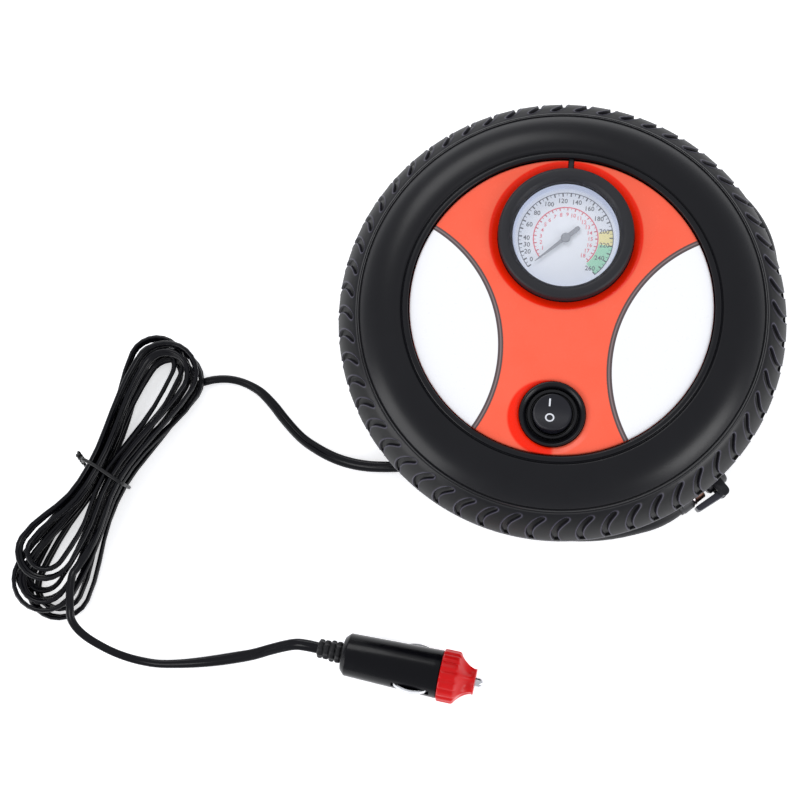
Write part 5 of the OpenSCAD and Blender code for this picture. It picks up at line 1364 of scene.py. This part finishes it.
relief_core, sides = lathe([(0.6, 0), (2.5, 0), (2.8, 0.3), (3.45, 9.8), (3.7, 10.2),
                            (3.7, 12.8), (0.6, 12.8)], 48)
core_piece = solid("plug_relief_core", laid(relief_core), sides)
dress(core_piece, soft_black, "case", ["plug_relief"], "soft_black")
print("plug: from", PLUG_AT, "at", round(math.degrees(PLUG_TURN), 1), "degrees")

# %% Ribs of the strain relief
LUMPS, LUMP_DEPTH, RIB_ROOT = 8, 0.55, 2.8


def rib_graph(finish):
    """Rings across a line, in a row, each wider than the one before."""
    graph, given = geometry_graph("relief_ribs", {
        "Ribs": ("Int", 4), "Pitch": ("Float", 2.35), "Start": ("Float", 1.25),
        "Growth": ("Float", 0.06), "Stagger": ("Float", math.pi / LUMPS),
        "Turn": ("Float", PLUG_TURN), "X": ("Float", PLUG_AT[0]),
        "Y": ("Float", PLUG_AT[1]), "Z": ("Float", PLUG_AT[2])})
    index = graph.node("GeometryNodeInputIndex")
    reach = given["Start"] + given["Pitch"] * index
    turn = given["Turn"]
    spot = graph.vector((given["X"] + reach * turn.maths("COSINE")) * MM,
                        (given["Y"] + reach * turn.maths("SINE")) * MM, given["Z"] * MM)
    spots = graph.node("GeometryNodePoints", {}, {"Count": given["Ribs"], "Position": spot})
    facing = graph.node("FunctionNodeEulerToRotation", {}, [
        graph.vector(given["Stagger"] * index, 0.0, turn)])
    wide = given["Growth"] * index + 1.0
    ribs = graph.node("GeometryNodeInstanceOnPoints", {},
                      {"Points": spots, "Instance": given["Geometry"], "Rotation": facing,
                       "Scale": graph.vector(1.0, wide, wide)})
    close_graph(graph, ribs, finish)
    return graph


def lumpy(point):
    """Presses a rib in between its lumps."""
    x, y, z = point
    r = math.hypot(x, y)
    between_lumps = 0.5 - 0.5 * math.cos(LUMPS * math.atan2(y, x))
    new = r - LUMP_DEPTH * max(0, r - RIB_ROOT) * between_lumps
    return x * new / r, y * new / r, z


rib_profile = [(2.5, -1.1), (3.1, -1.05), (3.5, -0.8), (3.68, -0.35), (3.68, 0.35), (3.5, 0.8),
               (3.1, 1.05), (2.5, 1.1)]
rib_points, sides = lathe(rib_profile, 96)
rib_start = solid("rib", laid([lumpy(p) for p in rib_points], 0, (0, 0, 0), 0), sides)
ribs = grown(rib_start, "plug_relief_ribs", rib_graph(soft_black))
dress(ribs, soft_black, "case", ["plug_relief"], "soft_black")
print("ribs:", len(ribs.data.polygons), "faces")

# %% [markdown]
# The barrel has a slot on each side for a sprung contact. Cutting them with a boolean would
# leave long thin faces that shade badly, so the lathe's own grid is opened: its columns and
# rows already lie on the slots' edges, the cells between them are left out, and walls and a
# floor close each pocket.

# %% Barrel with its slots
BORE_R, SLOT_FLOOR, SLOT_FROM, SLOT_TO, BARREL_SIDES, SLOT_COLUMNS = 4.0, 5.2, 30.6, 45.4, 132, 3
barrel_profile = [(3.8, BARREL_FROM), (6.1, BARREL_FROM), (6.4, 10.07), (6.6, 10.22), (8, 11.6),
                  (8.14, 11.8), (8.22, 12.1), (8.72, SLOT_FROM), (9.13, SLOT_TO), (9.19, 47.6),
                  (9.15, 47.85), (9, BARREL_END), (BORE_R, BARREL_END), (BORE_R, 14), (3.8, 14)]


def slotted_barrel():
    """Points and faces of the barrel, with a pocket for a contact on each side."""
    points, faces = lathe(barrel_profile, BARREL_SIDES)
    count, quarter = len(barrel_profile), BARREL_SIDES // 4
    low, high = (k for k, (_, z) in enumerate(barrel_profile) if z in (SLOT_FROM, SLOT_TO))
    gone, walls = set(), []
    for middle in (quarter, 3 * quarter):
        columns = range(middle - SLOT_COLUMNS, middle + SLOT_COLUMNS + 1)
        floor = {}
        for i in columns:
            turn = 2 * math.pi * i / BARREL_SIDES
            floor[i] = len(points)
            points += [(SLOT_FLOOR * math.cos(turn), SLOT_FLOOR * math.sin(turn), z)
                       for z in (SLOT_FROM, SLOT_TO)]
        for i, n in zip(columns, columns[1:]):
            here, there, a, b = i * count, n * count, floor[i], floor[n]
            gone.add(frozenset((here + low, here + high, there + low, there + high)))
            walls += [[here + low, there + low, b, a], [here + high, there + high, b + 1, a + 1],
                      [a, b, b + 1, a + 1]]
        walls += [[i * count + low, i * count + high, floor[i] + 1, floor[i]]
                  for i in (columns[0], columns[-1])]
    return points, [face for face in faces if frozenset(face) not in gone] + walls


plug_black = moulded("plug_black", srgb(5, 5, 9), 0.22, grain=0.25, lift=0.002,
                     Specular_IOR_Level=0.17)
barrel_points, sides = slotted_barrel()
barrel = solid("plug_barrel_shell", laid(barrel_points, roll=PLUG_ROLL), sides)
dress(barrel, plug_black, "case", ["plug_barrel"], "black_case")
print("barrel:", len(barrel.data.polygons), "faces,", round(BARREL_END - BARREL_FROM), "mm long")

# %% Cap
cap_red = moulded("cap_red", srgb(198, 3, 6), 0.32, grain=0.35, lift=0.004, drift=0.1,
                  Specular_IOR_Level=0.26)
CAP_L, CAP_R, BAND, NOSE_R, FLUTES, RIDGES = 13.6, 10.0, 6.6, 5.1, 16, 6
FLUTE_DEPTH, RIDGE_DEPTH, RIDGE_TURN, TAPER_STEPS = 0.5, 1.5, 0.9, 14


def taper_point(t):
    """The hollow taper of the cap, from the band at 0 to the nose at 1."""
    return (NOSE_R + (CAP_R - 0.5 - NOSE_R) * (1 - t) ** 1.75,
            BAND + 0.3 + (CAP_L - BAND - 0.5) * t)


taper = [taper_point(i / TAPER_STEPS) for i in range(TAPER_STEPS + 1)]
cap_profile = ([(4.0, 0.2), (9.3, 0.2), (9.7, 0.35), (CAP_R, 0.75), (CAP_R, 2.2), (CAP_R, 4.4),
                (CAP_R, 5.8), (9.9, 6.3), (9.7, BAND)] + taper
               + [(NOSE_R - 0.2, CAP_L), (4.2, CAP_L), (2.05, CAP_L), (2.05, 12.8), (4.0, 12.8)])
cap_points, cap_sides = lathe(cap_profile, 288)


def ribbed(point):
    """Presses the flutes into the cap's band and raises ridges on its taper."""
    x, y, z = point
    r, angle = math.hypot(x, y), math.atan2(y, x)
    if r < NOSE_R - 0.5:
        return point
    flute = 0.5 - 0.5 * math.cos(FLUTES * angle)
    in_band = min(1, max(0, (z - 0.2) / 0.5)) * min(1, max(0, (BAND + 0.6 - z) / 0.7))
    along = min(1, max(0, (z - BAND) / (CAP_L - BAND)))
    valley = (0.5 - 0.5 * math.cos(RIDGES * angle + RIDGE_TURN)) ** 0.7
    swell = math.sin(math.pi * min(1, along * 1.02)) ** 0.8
    new = r - FLUTE_DEPTH * in_band * flute ** 3 - RIDGE_DEPTH * swell * valley
    return x * new / r, y * new / r, z


cap = solid("plug_cap_ribbed", laid([ribbed(p) for p in cap_points], BARREL_END), cap_sides)
dress(cap, cap_red, "cap", ["plug_cap"], "cap_red", 28)
print("cap:", len(cap.data.polygons), "faces")

# %% [markdown]
# ## The wire tie
# A plastic-covered wire holds the hank at its waist. It hugs the bundle in a rounded
# rectangle, and its two ends are twisted together at the side. Both are swept.

# %% Wire tie
tie_black = moulded("tie_black", srgb(14, 14, 16), 0.32, grain=0.5, lift=0.004,
                    Specular_IOR_Level=0.3)
tie_sweep = sweep_graph("tie_sweep", tie_black, 12)
TIE_WIDE, TIE_HIGH, TIE_MID, TIE_SQUARE = 10.0, 7.35, 8.05, 6
TIE_FROM, TIE_ROUND, TIE_POINTS = 8, 344, 90
TWIST_R, TWIST_FROM, TWIST_STEP, TWIST_SLANT = 0.62, 0.3, 0.17, 0.075
TWIST_TURN, TWIST_POINTS = 0.45, 24


def at_waist(u, v, z):
    c, s = math.cos(HANK_AXIS), math.sin(HANK_AXIS)
    return Vector((HANK_AT[0] + u * c - v * s, HANK_AT[1] + u * s + v * c, z))


def tie_point(turn):
    c, s = math.cos(turn), math.sin(turn)
    reach = (abs(c) ** TIE_SQUARE + abs(s) ** TIE_SQUARE) ** (-1 / TIE_SQUARE)
    return at_waist(0.9 * s + 0.5 * math.sin(2 * turn), TIE_WIDE * c * reach,
                    TIE_MID + TIE_HIGH * s * reach)


def twisted_end(side):
    """One of the two ends, wound round the other."""
    line = []
    for i in range(TWIST_POINTS):
        turn = math.pi * side + i * TWIST_TURN
        line.append(at_waist(TWIST_FROM + TWIST_SLANT * i + TWIST_R * math.cos(turn),
                             TIE_WIDE + TWIST_FROM + i * TWIST_STEP,
                             TIE_MID + TWIST_R * math.sin(turn)))
    return line


hoop = [tie_point(math.radians(TIE_FROM + TIE_ROUND * i / TIE_POINTS))
        for i in range(TIE_POINTS + 1)]
wires = [swept("wire", line, tie_sweep, Half_Width=0.72, Waist=0.6)
         for line in (hoop, twisted_end(0), twisted_end(1))]
parts = [([v.co / MM for v in w.data.vertices], [list(p.vertices) for p in w.data.polygons])
         for w in wires]
for wire in wires:
    bpy.data.objects.remove(wire)
tie = solid("wire_tie", *join(*parts))
dress(tie, tie_black, "case", ["cord_tie"], "tie_black", 60)
print("tie:", len(tie.data.polygons), "faces")

# %% Routes of the lead and the hose, in metres
[p * MM for p in lead_line]
[v * MM for v in hose_line[0]]
[[v * MM for v in p] for p in hose_line]

# %% [markdown]
# ## Finishes for what is inside
# The solids that stay as they are get finishes of their own, by what each is made of.
# Bare metals show faint tarnish and machining marks, castings a coarser grain, and the
# moulded ones the same cloudy grain as the case. They are seen when the case is opened up
# or a joint is moved.

# %% Metals, mouldings and glass
brass = turned("brass", srgb(206, 168, 96), 0.28)
steel = turned("steel", srgb(176, 178, 182), 0.34)
bright_steel = turned("bright_steel", srgb(222, 223, 226), 0.14, scratch=0.5, lift=0.001)
alloy = turned("cast_alloy", srgb(188, 190, 194), 0.5, scratch=0.7, lift=0.01)
gear_white = moulded("gear_white", srgb(236, 234, 226), 0.4, lift=0.003, drift=0.04)
fuse_glass = Finish("fuse_glass", srgb(225, 235, 235), 0.05, Alpha=0.35, IOR=1.5)
fuse_glass.set("Roughness", 0.04 + fuse_glass.noise(2, 2) * 0.06)

print("bare metals:", ", ".join(f.material.name for f in (brass, steel, bright_steel, alloy)))

# %% Nodes that stay
carried = {
    black_case: ["hub_ring", "rear_cover", "gauge_cup"],
    dark_plastic: ["motor_end_cap", "chuck_ferrule", "chuck_pin"],
    soft_black: ["cord_grommet", "chuck_seal", "piston_seal", "gauge_line"],
    brass: ["needle_arbor", "gauge_sector", "bourdon_tube", "gauge_socket", "outlet_barb",
            "switch_terminals", "pinion"],
    steel: ["cover_screws", "gauge_screws", "motor_can", "motor_shaft", "motor_screws",
            "crankshaft", "crank_bearing", "crank_pin", "wrist_pin", "valve_plate",
            "head_screws", "hose_clip", "frame_screws", "plug_spring"],
    bright_steel: ["plug_contact_left", "plug_contact_right", "plug_pin"],
    alloy: ["drive_frame", "connecting_rod", "piston", "pump_cylinder", "cylinder_head"],
    gear_white: ["crank_gear"],
    fuse_glass: ["plug_fuse"],
}
for finish, names in carried.items():
    for name in names:
        for slot in nodes[name].material_slots:
            slot.material = finish.material
shown = [n for n, thing in nodes.items() if not thing.hide_render]
undressed = sorted(set(shown) - {n for names in carried.values() for n in names})
print("nodes that stay:", len(shown), "without a finish:", undressed)
